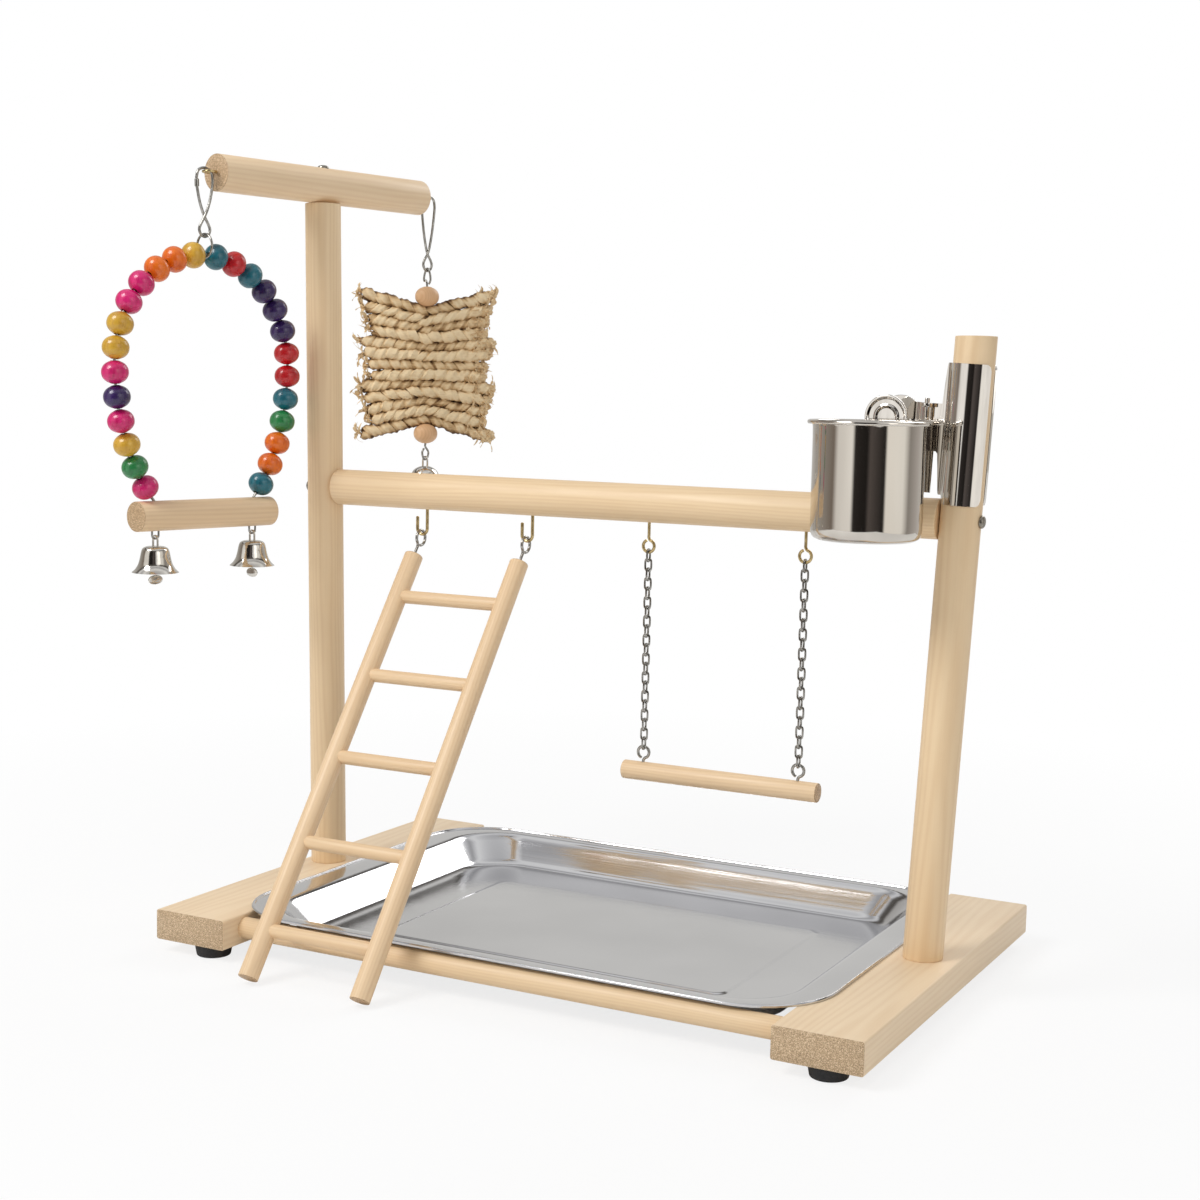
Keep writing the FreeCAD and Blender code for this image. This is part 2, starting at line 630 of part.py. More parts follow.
bead_perch_radius = size("bead_perch_diameter") / 2
bead_perch_middle = widest - Z * (arch_foot + bead_perch_radius)
half_bead_perch = top_direction * (size("bead_perch_length") / 2)
bead_perch = rod(bead_perch_middle - half_bead_perch, bead_perch_middle + half_bead_perch, bead_perch_radius)
bead_perch = bead_perch.cut(arch)
staple_wire = size("staple_wire")


def staple(top, side, depth):
    """A wire staple that hangs from a point, in the plane of Z and a side direction."""
    pairs = ((-2.6, 6), (-2.6, 2.4 - depth), (-1.2, -depth), (1.2, -depth), (2.6, 2.4 - depth), (2.6, 6))
    return bent_wire(plane_points(top, side, Z, pairs), staple_wire)


bell_places = []
bell_staples = []
for sign in (-1, 1):
    under = bead_perch_middle + top_direction * (sign * size("bell_spacing") / 2) - Z * bead_perch_radius
    loop = staple(under, top_direction, size("staple_drop"))
    bell_staples.append(loop)
    bead_perch = bead_perch.cut(loop)
    bell_places.append(under - Z * size("staple_drop"))
add("bead_swing_perch", bead_perch)
add("bell_staples", *bell_staples)


def bell_loop(pivot, side, drop):
    """A loop that stands on a bell's crown and goes over the staple's wire."""
    rise = staple_wire + touch
    pairs = ((-2.4, -drop - 0.6), (-2.4, rise - 2), (-1.2, rise), (1.2, rise), (2.4, rise - 2),
             (2.4, -drop - 0.6))
    return bent_wire(plane_points(pivot, side, Z, pairs), staple_wire)


def inner_staple(crown):
    """The staple inside a bell's crown that its clapper hangs from."""
    pairs = ((-2.6, 0.5), (-2.6, -0.8), (-1.2, -3.2), (1.2, -3.2), (2.6, -0.8), (2.6, 0.5))
    points = plane_points(crown - Z * size("bell_wall"), top_direction, Z, pairs)
    return bent_wire(points, staple_wire)


def clapper(pivot, side, blade, length, width, height):
    """A clapper: a small hook over its wire, a stem and a flat drop-shaped end."""
    pairs = ((-1.6, -1.4), (-1.2, 0.9), (0, 1.5), (1.2, 0.9), (1.6, -0.8), (0, -2.8), (0, 0.5 - length))
    stem = bent_wire(plane_points(pivot, side, Z, pairs), 1.0)
    outline = [(0, 0.45), (0.35, 0.2), (0.5, -0.2), (0.3, -0.5), (-0.3, -0.5), (-0.5, -0.2), (-0.35, 0.2)]
    face = Part.Face(Part.makePolygon(plane_points(pivot - Z * length, blade, Z, [
        (a * width, b * height) for a, b in outline + outline[:1]])))
    across = blade.cross(Z)
    face.translate(across * -0.8)
    return stem.fuse(face.extrude(across * 1.6))


mouth = size("bell_mouth_diameter") / 2
tall = size("bell_height")
wall = size("bell_wall")
bell_profile = ((0.38 * mouth, -wall), (0.53 * mouth, -0.16 * tall), (0.61 * mouth, -0.58 * tall),
                (0.76 * mouth, -0.84 * tall), (mouth - wall, -tall), (mouth, -tall),
                (0.82 * mouth, -0.82 * tall), (0.68 * mouth, -0.56 * tall), (0.61 * mouth, -0.14 * tall),
                (0.48 * mouth, 0))
bell_drop = size("bell_drop")
clapper_drop = bell_drop + wall + 3.2
for name, pivot, blade in (("left", bell_places[0], top_direction), ("right", bell_places[1], top_across)):
    crown = pivot - Z * bell_drop
    bell = spun(bell_profile, crown, Z, 16).fuse(bell_loop(pivot, top_across, bell_drop))
    add(name + "_bell", bell.fuse(inner_staple(crown)))
    add(name + "_clapper", clapper(pivot - Z * clapper_drop, top_across, blade, 18, 11.6, 6.5))

# Husk toy under the perch's rear eye: beads and husk rows on a wire, and a round bell.

add("toy_snap_hook", *snap_hook(rear_pivot, top_direction * -1, top_across, size("toy_snap_drop")))
toy_wire = size("toy_wire")
loop_drop = 11.0
toy_pivot = rear_pivot - Z * size("toy_snap_drop")
core_top = toy_pivot - Z * loop_drop
core_end = core_top - Z * size("toy_length")
loop_seat = (snap_wire + toy_wire) / 2 + touch
top_loop = [(0, -loop_drop - size("toy_length")), (0, -loop_drop), (3.8, -6.4), (2.6, 0.4), (0.9, loop_seat),
            (-0.9, loop_seat), (-2.6, 0.4), (-3.6, -5.6), (-1.9, -9.0)]
core = bent_wire(plane_points(toy_pivot, top_across, Z, top_loop), toy_wire)
low_loop = [(0, 0.05), (0, -2), (3.4, -6), (2.4, -10), (0.9, -11.5), (-0.9, -11.5), (-2.4, -10),
            (-3.2, -6.4), (-1.6, -3.4)]
hanger = bent_wire(plane_points(core_end, top_direction, Z, low_loop), toy_wire)
add("toy_wire", core.fuse(hanger))
toy_bead_length = 15
bead_middles = (core_top - Z * (toy_bead_length / 2 + 0.5), core_end + Z * (toy_bead_length / 2 + 0.5))
add("toy_beads", *[flat_bead(m, Z, toy_bead_length, size("toy_bead_diameter"), toy_wire + 1.4)
                   for m in bead_middles])

husk_side = direction(size("husk_turn"))
husk_across = FreeCAD.Vector(-husk_side.y, husk_side.x, 0)
row_count = int(size("husk_rows"))
row_room = size("toy_length") - 2 * (toy_bead_length + 0.5) - 2.0
row_pitch = row_room / row_count
knot_stations = ((-1.0, 0.62), (-0.92, 1.0), (-0.5, 1.0), (0, 1.0), (0.5, 1.0), (0.84, 0.9), (0.93, 1.25),
                 (1.0, 0.9))
drill = flat_rod(core_top, core_end, toy_wire / 2 + 0.7, 6)
half_width = size("husk_width") / 2
rows = []
for k in range(row_count):
    rank = (k - (row_count - 1) / 2) / ((row_count - 1) / 2)
    middle = (core_top + core_end) * 0.5 + Z * (rank * (row_room - row_pitch) / 2)
    reach = half_width * (1 - 0.045 * ((k * 3) % 4))
    bow = 1.6 * (-1) ** k
    row_rings = []
    for where, girth in knot_stations:
        fan = size("husk_fan") * abs(where * reach / half_width) ** 1.4
        centre = middle + husk_side * (where * reach) + husk_across * (bow * (1 - where * where))
        centre += Z * (rank * fan)
        spread = fan * 2 / (row_count - 1)
        high = (row_pitch + spread - size("husk_gap")) / 2 * min(girth, 1.0)
        deep = size("husk_depth") / 2 * girth
        row_rings.append([centre + husk_across * (deep * math.cos(t)) + Z * (high * math.sin(t))
                          for t in [math.pi * (2 * c + 1) / 6 for c in range(6)]])
    rows.append(flat_shell(row_rings).cut(drill))
add("husk_rows", *rows)

dome_radius = size("dome_diameter") / 2
dome_pivot = core_end - Z * 11.5
dome_crown = dome_pivot - Z * bell_drop
dome_profile = ((0.5 * dome_radius - wall, -1.2 * wall), (0.86 * dome_radius - wall, -0.5 * dome_radius),
                (dome_radius - wall, -1.05 * dome_radius), (dome_radius - wall, -1.7 * dome_radius),
                (dome_radius, -1.7 * dome_radius), (dome_radius, -1.0 * dome_radius),
                (0.9 * dome_radius, -0.42 * dome_radius), (0.6 * dome_radius, -0.1 * dome_radius),
                (0.4 * dome_radius, 0))
dome = spun(dome_profile, dome_crown, Z, 16).fuse(bell_loop(dome_pivot, top_across, bell_drop))
add("toy_bell", dome.fuse(inner_staple(dome_crown)))
add("toy_clapper", clapper(dome_pivot - Z * clapper_drop, top_across, top_across, 16, 9, 7))

# Steel tray: a flange with a rolled edge that rests on the boards, a sloping wall and a floor
# with a raised panel.


tray_length = size("board_spacing") - size("board_width") + 2 * size("tray_rest")
flange_ends = size("tray_end_flange")
flange_sides = size("tray_flange")
rim_corner = size("tray_corner")
depth = size("tray_depth")
lip = size("tray_lip")
panel = size("panel_rise")
sheet_steel = size("tray_sheet")
slope = size("tray_slope")
panel_in = slope + size("panel_inset")
wall_top = rim_corner - flange_sides
wall_foot = wall_top - slope / 2


def tray_ring(inset, height, corner):
    """A rounded rectangle at a height, inset from the tray's rim by two amounts."""
    half_x = tray_length / 2 - inset[0]
    half_y = size("tray_width") / 2 - inset[1]
    ring = []
    for sx, sy, turn in ((1, 1, 0), (-1, 1, 90), (-1, -1, 180), (1, -1, 270)):
        centre = at(size("tray_x") + sx * (half_x - corner), size("tray_y") + sy * (half_y - corner), height)
        ring += [centre + direction(turn + 18 * k) * corner for k in range(6)]
    return ring


def walled(offset, height, corner):
    """A ring inset from the edge of the flange's flat part."""
    return tray_ring((flange_ends + offset, flange_sides + offset), height, corner)


rim_gap = 0.05
tray = flat_shell([
    walled(panel_in + 2, panel + sheet_steel - depth, 7),
    walled(panel_in, sheet_steel - depth, 9),
    walled(slope + 2.5, sheet_steel - depth, wall_foot - 2.5),
    walled(slope + 0.6, 1.8 - depth, wall_foot - 0.6),
    walled(1.0, -0.9, wall_top - 1.0),
    walled(-0.8, sheet_steel + rim_gap, wall_top + 0.8),
    tray_ring((2.2, 2.2), sheet_steel + rim_gap, rim_corner - 2.2),
    tray_ring((1.6, 1.6), lip, rim_corner - 1.6),
    tray_ring((0.5, 0.5), lip, rim_corner - 0.5),
    tray_ring((0, 0), lip / 2, rim_corner),
    tray_ring((0.4, 0.4), rim_gap, rim_corner - 0.4),
    walled(-1.2, rim_gap, wall_top + 1.2),
    walled(0, -1.3, wall_top),
    walled(slope - 0.4, 1.2 - depth, wall_foot + 0.4),
    walled(slope + 1.8, -depth, wall_foot - 1.8),
    walled(panel_in, -depth, 9),
    walled(panel_in + 2, panel - depth, 7)])
add("tray", tray)

# Spring clamp: two half-round jaws on arms that turn on an upright pin. The near half's pad
# carries the cup; both pads are pinched together to open the jaws.

jaw_inner = wood_radius + size("jaw_clearance")
steel = size("clamp_sheet")
jaw_outer = jaw_inner + steel
jaw_low = bar_height + wood_radius - size("clamp_overlap")
hinge_height = jaw_low + size("clamp_height") / 2 + size("hinge_lift")
post_here = post_point("right", hinge_height)
clamp_tilt = post_axis("right")
clamp_side = FreeCAD.Vector(clamp_tilt.z, 0, -clamp_tilt.x)
upright = FreeCAD.Rotation(Z, clamp_tilt)
pin_reach = size("pin_reach")
pad_reach = size("pad_reach")
jaw_range = (-size("clamp_height") / 2 - size("hinge_lift"), size("clamp_height") / 2 - size("hinge_lift"))
web = 6.6
arms = {-1: (-13.5, 5.0), 1: (-10.6, 15.0)}
lugs = {-1: (-13.5, 2.6), 1: (-10.6, 12.6)}
lug_height = 2.4


def clamp_at(reach, across, rise):
    """A point by the clamp: from the post's axis outwards, across and up along the post."""
    return post_here + clamp_side * reach + Y * across + clamp_tilt * rise


def bent_plate(path, sign, low, high):
    """A strip of sheet steel bent along a path of (reach, across) pairs."""
    inner = []
    for k, (a, b) in enumerate(path):
        before = path[max(k - 1, 0)]
        after = path[min(k + 1, len(path) - 1)]
        run = FreeCAD.Vector(after[0] - before[0], after[1] - before[1], 0).normalize()
        inner.append((a - run.y * steel, b + run.x * steel))
    corners = [clamp_at(a, sign * b, low) for a, b in path + inner[::-1]]
    solid = Part.Face(Part.makePolygon(corners + corners[:1])).extrude(clamp_tilt * (high - low))
    if solid.Volume < 0:
        solid.reverse()
    return solid


pad_radius = size("pad_diameter") / 2
pad_face = 12.6
pad_profile = ((0.3, 0), (pad_radius, 0), (pad_radius, 2.1), (pad_radius - 1.6, 2.1),
               (pad_radius - 2.4, steel), (0.3, steel))


def clamp_half(sign):
    """One sprung half: a half-round jaw, a bent arm with its lugs on the pin and a finger pad."""
    jaw = [(jaw_outer * math.cos(math.radians(t)), jaw_outer * math.sin(math.radians(t)))
           for t in (25, 50, 75, 100, 125, 150)]
    solid = bent_plate(jaw, sign, *jaw_range)
    notch = Part.makeBox(20, 60, 2 * size("clamp_overlap"), FreeCAD.Vector(-31.2, -30, jaw_range[0] - 3))
    notch.Placement = FreeCAD.Placement(post_here, upright)
    solid = solid.cut(notch)
    arm = jaw[-2:] + [(-jaw_outer - 2, web), (-pin_reach, web), (-pin_reach - 6, 9), (-pin_reach - 9, 12.4),
                      (-pad_reach + 8, pad_face)]
    solid = solid.fuse(bent_plate(arm, sign, *arms[sign]))
    if sign < 0:
        stay = [(-pin_reach + 8.6, web), (-pin_reach - 0.6, web)]
        solid = solid.fuse(bent_plate(stay, sign, jaw_range[0] + 6, arms[sign][0]))
    pad = spun(pad_profile, clamp_at(-pad_reach, sign * pad_face, size("pad_lift")), Y * sign, 16)
    solid = solid.fuse(pad)
    for low in lugs[sign]:
        base = clamp_at(-pin_reach, 0, low)
        lug = flat_rod(base, base + clamp_tilt * lug_height, 3.6, 12)
        ear = Part.makeBox(5.0, web, lug_height, FreeCAD.Vector(-2.5, 0 if sign > 0 else -web, 0))
        ear.Placement = FreeCAD.Placement(base, upright)
        solid = solid.fuse(lug).fuse(ear)
    hole = rod(clamp_at(-pin_reach, 0, -30), clamp_at(-pin_reach, 0, 30), size("pin_diameter") / 2 + 0.3)
    return solid.cut(hole)


add("clamp_near_half", clamp_half(-1))
add("clamp_far_half", clamp_half(1))
pin_end = 3.0
pin_low = clamp_at(-pin_reach, 0, lugs[-1][0] - pin_end)
pin_high = clamp_at(-pin_reach, 0, lugs[1][1] + lug_height + pin_end)
add("clamp_pin", rod(pin_low, pin_high, size("pin_diameter") / 2))

coil_steps = 12
coil_radius = size("spring_radius")
coil_middle = (lugs[1][0] + lug_height + lugs[-1][1]) / 2
coil_points = []
for k in range(coil_steps * int(size("spring_turns")) + 1):
    turn = 2 * math.pi * k / coil_steps
    rise = coil_middle + size("spring_pitch") * (k / coil_steps - size("spring_turns") / 2)
    reach = coil_radius * math.cos(turn) - pin_reach
    coil_points.append(clamp_at(reach, coil_radius * math.sin(turn), rise))
add("clamp_spring", bent_wire(coil_points, size("spring_wire")))
turn_gap = min((a - b).Length for a, b in zip(coil_points, coil_points[coil_steps:])) - size("spring_wire")
print("clamp spring: least gap between turns %.2f mm" % turn_gap)

# Feeder cup: a spun cup with a rolled rim, fixed to the near pad by a short spacer.

cup_radius = size("cup_diameter") / 2
rim_radius = size("cup_rim_diameter") / 2
cup_tall = size("cup_height")
cup_wall = size("cup_wall")
plate_face = size("post_row_y") - pad_face - steel
cup_y = plate_face - touch - 0.3 - rim_radius
cup_foot = hinge_height + size("cup_lift") - cup_tall
cup_x = clamp_at(-pad_reach, 0, 0).x - size("stand_x") + size("cup_shift")
cup_inner = cup_radius - cup_wall
cup_profile = ((cup_radius - 6, cup_wall), (cup_radius - 2.6, 2.6), (cup_inner, 6), (cup_inner, cup_tall),
               (rim_radius - 2.6, cup_tall + 1), (rim_radius - 0.6, cup_tall + 0.7),
               (rim_radius, cup_tall - 0.7), (rim_radius - 0.9, cup_tall - 2), (cup_radius, cup_tall - 1.6),
               (cup_radius, 6), (cup_radius - 1.5, 1.8), (cup_radius - 6, 0))
cup = spun(cup_profile, at(cup_x, cup_y, cup_foot), Z, 36)
spacer_height = hinge_height - 1.5
spacer_start = at(cup_x, cup_y + cup_inner + 0.2, spacer_height)
spacer = flat_rod(spacer_start, at(cup_x, plate_face, spacer_height), 3, 12)
add("feeder_cup", cup.fuse(spacer))

doc.recompute()
os.makedirs("parts", exist_ok=True)
pieces = [piece for piece in doc.Objects if hasattr(piece, "Shape")]
faults = []
for piece in pieces:
    bad_state = [s for s in piece.State if s in ("Invalid", "Error")]
    if bad_state or piece.Shape.isNull() or not piece.Shape.isValid() or piece.Shape.Volume <= 0:
        faults.append(piece.Label)
    piece.Shape.exportStep("parts/%s.step" % piece.Label)
if faults:
    raise RuntimeError("broken pieces: " + ", ".join(faults))
box = Part.makeCompound([piece.Shape for piece in pieces]).BoundBox
print("x %.1f..%.1f  y %.1f..%.1f" % (box.XMin, box.XMax, box.YMin, box.YMax))
print("z %.1f..%.1f" % (box.ZMin, box.ZMax))
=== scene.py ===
import math
import bpy
import numpy as np
from mathutils import Matrix, Vector


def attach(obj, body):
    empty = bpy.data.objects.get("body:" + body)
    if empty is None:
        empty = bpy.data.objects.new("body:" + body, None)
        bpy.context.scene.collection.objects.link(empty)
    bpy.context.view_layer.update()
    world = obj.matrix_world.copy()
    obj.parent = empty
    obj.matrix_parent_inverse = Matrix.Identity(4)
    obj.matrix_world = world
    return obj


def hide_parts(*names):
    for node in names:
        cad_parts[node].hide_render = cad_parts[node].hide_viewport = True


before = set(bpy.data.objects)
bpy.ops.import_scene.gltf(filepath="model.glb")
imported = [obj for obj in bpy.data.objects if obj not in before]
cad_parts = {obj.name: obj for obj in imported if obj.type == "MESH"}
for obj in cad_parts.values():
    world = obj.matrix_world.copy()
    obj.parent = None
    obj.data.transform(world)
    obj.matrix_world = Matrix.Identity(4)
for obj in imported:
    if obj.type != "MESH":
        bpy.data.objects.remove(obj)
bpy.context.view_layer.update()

# ----------------------------------------
# Foot boards: two planed softwood planks with eased long edges. Their sawn ends show open,
# speckled end grain. Both posts stand on them and the tray's rim lies on their inner edges.

stand = np.array([15.15, 15.4, 28.0])
to_metres = 0.001


def at(x, y, height):
    """A place in millimetres from the stand's centre, at a height over the board tops."""
    return stand + np.array([x, y, height], float)


def unit(v):
    """Vectors shortened to length one, along the last axis."""
    v = np.asarray(v, float)
    return v / np.linalg.norm(v, axis=-1, keepdims=True)


def skin(name, grids, body, nodes=(), looped=False, crease=38):
    """Closed shells from grids of points in millimetres (rows along the piece, columns round it).
    Columns always join up; rows join up too when looped, or else each end gets a fan."""
    corners, quads, fans = [], [], []
    base = 0
    for grid in grids:
        rows, cols = grid.shape[:2]
        corners.append(grid.reshape(-1, 3))
        number = base + np.arange(rows * cols).reshape(rows, cols)
        following = np.roll(number, -1, axis=1)
        if looped:
            low, high = number, np.roll(number, -1, axis=0)
            low_next, high_next = following, np.roll(following, -1, axis=0)
        else:
            low, high, low_next, high_next = number[:-1], number[1:], following[:-1], following[1:]
        quads.append(np.stack([low, low_next, high_next, high], -1).reshape(-1, 4))
        base += rows * cols
        if not looped:
            corners.append(np.stack([grid[0].mean(0), grid[-1].mean(0)]))
            first, last = np.full(cols, base), np.full(cols, base + 1)
            fans.append(np.stack([following[0], number[0], first], -1))
            fans.append(np.stack([number[-1], following[-1], last], -1))
            base += 2
    points = np.concatenate(corners) * to_metres
    quads = np.concatenate(quads)
    fans = np.concatenate(fans) if fans else np.zeros((0, 3), int)
    mesh = bpy.data.meshes.new(name)
    mesh.vertices.add(len(points))
    mesh.vertices.foreach_set("co", points.astype(np.float32).ravel())
    loops = np.concatenate([quads.ravel(), fans.ravel()])
    mesh.loops.add(len(loops))
    mesh.loops.foreach_set("vertex_index", loops.astype(np.int32))
    mesh.polygons.add(len(quads) + len(fans))
    starts = np.concatenate([np.arange(len(quads)) * 4, quads.size + np.arange(len(fans)) * 3])
    mesh.polygons.foreach_set("loop_start", starts.astype(np.int32))
    mesh.update(calc_edges=True)
    mesh.validate()
    piece = bpy.data.objects.new(name, mesh)
    bpy.context.scene.collection.objects.link(piece)
    mesh.polygons.foreach_set("use_smooth", np.ones(len(mesh.polygons), bool))
    mesh.set_sharp_from_angle(angle=math.radians(crease))
    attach(piece, body)
    if nodes:
        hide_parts(*nodes)
    return piece


class Value:
    """A shader number that is written into sums: each operator adds the Math node it stands for."""

    def __init__(self, nodes, socket):
        self.nodes = nodes
        self.socket = socket

    def join(self, operation, *others):
        values = dict(enumerate([self, *others]))
        return self.nodes.node("ShaderNodeMath", {"operation": operation}, values)

    def within(self, low, high):
        """The number, held between two bounds."""
        return self.join("MAXIMUM", low).join("MINIMUM", high)

    def __add__(self, other):
        return self.join("ADD", other)

    def __sub__(self, other):
        return self.join("SUBTRACT", other)

    def __rsub__(self, other):
        return self.join("MULTIPLY", -1.0).join("ADD", other)

    def __mul__(self, other):
        return self.join("MULTIPLY", other)

    def __truediv__(self, other):
        return self.join("DIVIDE", other)

    def __pow__(self, other):
        return self.join("POWER", other)

class Nodes:
    """A node tree. node() adds any node: first its settings, then its sockets' values or links."""

    def __init__(self, tree):
        self.tree = tree

    def own(self, kind):
        """The node of a kind that the tree came with."""
        return next(n for n in self.tree.nodes if n.type == kind)

    def node(self, kind, settings=None, sockets=None, output=0):
        made = self.tree.nodes.new(kind)
        for name, value in (settings or {}).items():
            if name == "stops":
                ramp = made.color_ramp
                while len(ramp.elements) < len(value):
                    ramp.elements.new(1.0)
                for element, (place, colour) in zip(ramp.elements, value):
                    element.position = place
                    element.color = (*colour, 1.0)
            else:
                setattr(made, name, value)
        for name, value in (sockets or {}).items():
            self.feed(made.inputs[name], value)
        return Value(self, made.outputs[output])

    def feed(self, socket, value):
        if isinstance(value, Value):
            self.tree.links.new(value.socket, socket)
        elif isinstance(value, tuple) and len(value) == 3 and socket.type == "RGBA":
            socket.default_value = (*value, 1.0)
        else:
            socket.default_value = value

    def place(self):
        return self.node("ShaderNodeTexCoord", output=3)

    def noise(self, where, scale, detail=3.0, rough=0.55):
        sockets = {"Vector": where, "Scale": scale, "Detail": detail, "Roughness": rough}
        return self.node("ShaderNodeTexNoise", None, sockets)

    def stretch(self, where, scale, turn=(0.0, 0.0, 0.0), shift=(0.0, 0.0, 0.0)):
        return self.node("ShaderNodeMapping", None,
                         {"Vector": where, "Scale": scale, "Rotation": turn, "Location": shift})

    def ramp(self, value, stops):
        return self.node("ShaderNodeValToRGB", {"stops": stops}, {0: value})

    def blend(self, share, a, b):
        """Two colours mixed by a share."""
        return self.node("ShaderNodeMix", {"data_type": "RGBA"}, {0: share, 6: a, 7: b}, output=2)

    def dot(self, where, way):
        """How far a place lies along a direction."""
        return self.node("ShaderNodeVectorMath", {"operation": "DOT_PRODUCT"}, {0: where, 1: way}, 1)


class Finish(Nodes):
    """A material with a Principled surface, whose constants are set by their sockets' names."""

    def __init__(self, name, **constants):
        self.material = bpy.data.materials.new(name)
        self.material.use_nodes = True
        super().__init__(self.material.node_tree)
        self.surface = self.own("BSDF_PRINCIPLED")
        for socket, value in constants.items():
            self.surface.inputs[socket.replace("_", " ")].default_value = value

    def bump(self, height, strength, distance):
        lifted = self.node("ShaderNodeBump", None,
                           {"Height": height, "Strength": strength, "Distance": distance})
        self.feed(self.surface.inputs["Normal"], lifted)

    def colour(self, value):
        self.feed(self.surface.inputs["Base Color"], value)

    def roughness(self, value):
        self.feed(self.surface.inputs["Roughness"], value)

    def on(self, *pieces):
        for piece in pieces:
            piece.data.materials.clear()
            piece.data.materials.append(self.material)


full_turn = 6.2832


def wood(name, along, middle, pale, dark, pith, rings, sawn_at=0.0):
    """Planed softwood. Growth rings, this many millimetres apart, are a sine of the distance from
    a pith line that runs along the piece. Long fibres are noise drawn out along it, and past
    sawn_at, a distance from its middle, it darkens into the speckles of end grain."""
    finish = Finish(name, Roughness=0.5, Coat_Weight=0.12, Coat_Roughness=0.35)
    turn = Vector(along).rotation_difference(Vector((0, 0, 1)))
    middle = Vector(middle) * to_metres
    local = finish.stretch(finish.place(), (1, 1, 1), tuple(turn.to_euler()), tuple(-(turn @ middle)))
    warp = finish.noise(finish.stretch(local, (26, 26, 3.2)), 1.0, 2.0)
    split = finish.node("ShaderNodeSeparateXYZ", None, {0: local})
    x, y, z = (Value(finish, socket) for socket in split.socket.node.outputs)
    across = x - pith[0] * to_metres
    rise = y - pith[1] * to_metres
    far = (across * across + rise * rise) ** 0.5
    ring = ((far * (1000 / rings) + warp * 5.5) * full_turn).join("SINE") * 0.5 + 0.5
    fibre = finish.noise(finish.stretch(local, (900, 900, 22)), 1.0, 3.0, 0.7)
    cloud = finish.noise(finish.stretch(local, (34, 34, 9)), 1.0, 3.0)
    share = ring ** 1.6 * 0.26 + fibre * 0.34 + cloud * 0.55 - 0.28
    between = tuple(0.5 * a + 0.5 * b for a, b in zip(pale, dark))
    shade = finish.ramp(share, [(0.0, pale), (0.55, between), (1.0, dark)])
    if sawn_at:
        mask = ((z.join("ABSOLUTE") - sawn_at * to_metres) * 4000.0 + 0.5).within(0.0, 1.0)
        pores = finish.noise(local, 1500.0, 3.0, 0.65)
        pore, rim = tuple(0.34 * c for c in dark), tuple(0.72 * c for c in dark)
        sawn = finish.ramp(pores, [(0.3, pore), (0.5, rim), (0.68, tuple(0.95 * c for c in pale))])
        shade = finish.blend(mask, shade, sawn)
        relief = pores * mask * 0.9 + fibre * 0.25
    else:
        relief = fibre * 0.25 + ring * 0.08
    finish.colour(shade)
    finish.roughness(fibre * 0.22 + 0.36)
    finish.bump(relief, 0.35, 0.0004)
    return finish


board_half = np.array([27.5, 162.5])
board_thickness = 20.0
board_round = 1.5


def board_grid(centre_x):
    """A rounded rectangle carried from the front end to the back, with softened end edges."""
    turn = np.linspace(0, 2 * np.pi, 48, endpoint=False) + np.pi / 48
    way = np.stack([np.cos(turn), np.sin(turn)], -1)
    half = np.array([board_half[0], board_thickness / 2])
    section = np.sign(way) * (half - board_round) + way * board_round
    shrink = np.array([0.7, 0.2, 0.0, 0.0, 0.2, 0.7])
    step = np.array([0.0, 0.25, 0.8, -0.8, -0.25, 0.0])
    ends = np.array([-1, -1, -1, 1, 1, 1]) * board_half[1] + step
    scale = 1 - shrink[:, None, None] / half
    ring = section[None] * scale
    x = centre_x + ring[..., 0]
    z = -board_thickness / 2 - ring[..., 1]
    y = np.broadcast_to(ends[:, None], x.shape)
    return stand + np.stack([x, y, z], -1)


for side, centre_x, pith in (("left", -218.5, (30.0, 52.0)), ("right", 218.5, (30.0, -48.0))):
    board = skin(side + "_foot_board", [board_grid(centre_x)], "stand",
                 [side + "_base_board"], crease=30)
    wood(side + "_board_wood", (0, 1, 0), at(centre_x, 0, -board_thickness / 2), (0.9, 0.72, 0.5),
         (0.72, 0.5, 0.29), pith, rings=3.4, sawn_at=162.1).on(board)

# ----------------------------------------
# Base rails: two 14 mm birch dowels let into the boards' inner faces, which space the boards
# and run just in front of and behind the tray.


def turned_grid(profile, origin, axis=(0, 0, 1), columns=64):
    """A turned piece: (radius, along) pairs spun round an axis through the origin."""
    profile = np.asarray(profile, float)
    axis = unit(axis)
    helper = np.array([0, 0, 1.0]) if abs(axis[2]) < 0.9 else np.array([1.0, 0, 0])
    side = unit(np.cross(helper, axis))
    rise = np.cross(axis, side)
    turn = np.linspace(0, 2 * np.pi, columns, endpoint=False)
    circle = np.cos(turn)[:, None] * side + np.sin(turn)[:, None] * rise
    out, along = profile[:, 0, None, None], profile[:, 1, None, None]
    return np.asarray(origin, float) + out * circle[None] + along * axis


def bar_grid(start, end, radius, ease=0.6, columns=56):
    """A round bar: rings at constant radius between its ends, where a short quarter round
    takes the last ease millimetres off the edge."""
    along = np.asarray(end, float) - start
    length = np.linalg.norm(along)
    bend = np.linspace(0, np.pi / 2, 4)
    inset = ease * (1 - np.cos(bend))
    step = np.concatenate([inset, [length * 0.33, length * 0.67], (length - inset)[::-1]])
    size = radius - ease * (1 - np.sin(bend))
    size = np.concatenate([size, [radius, radius], size[::-1]])
    return turned_grid(np.stack([size, step], -1), start, along, columns)


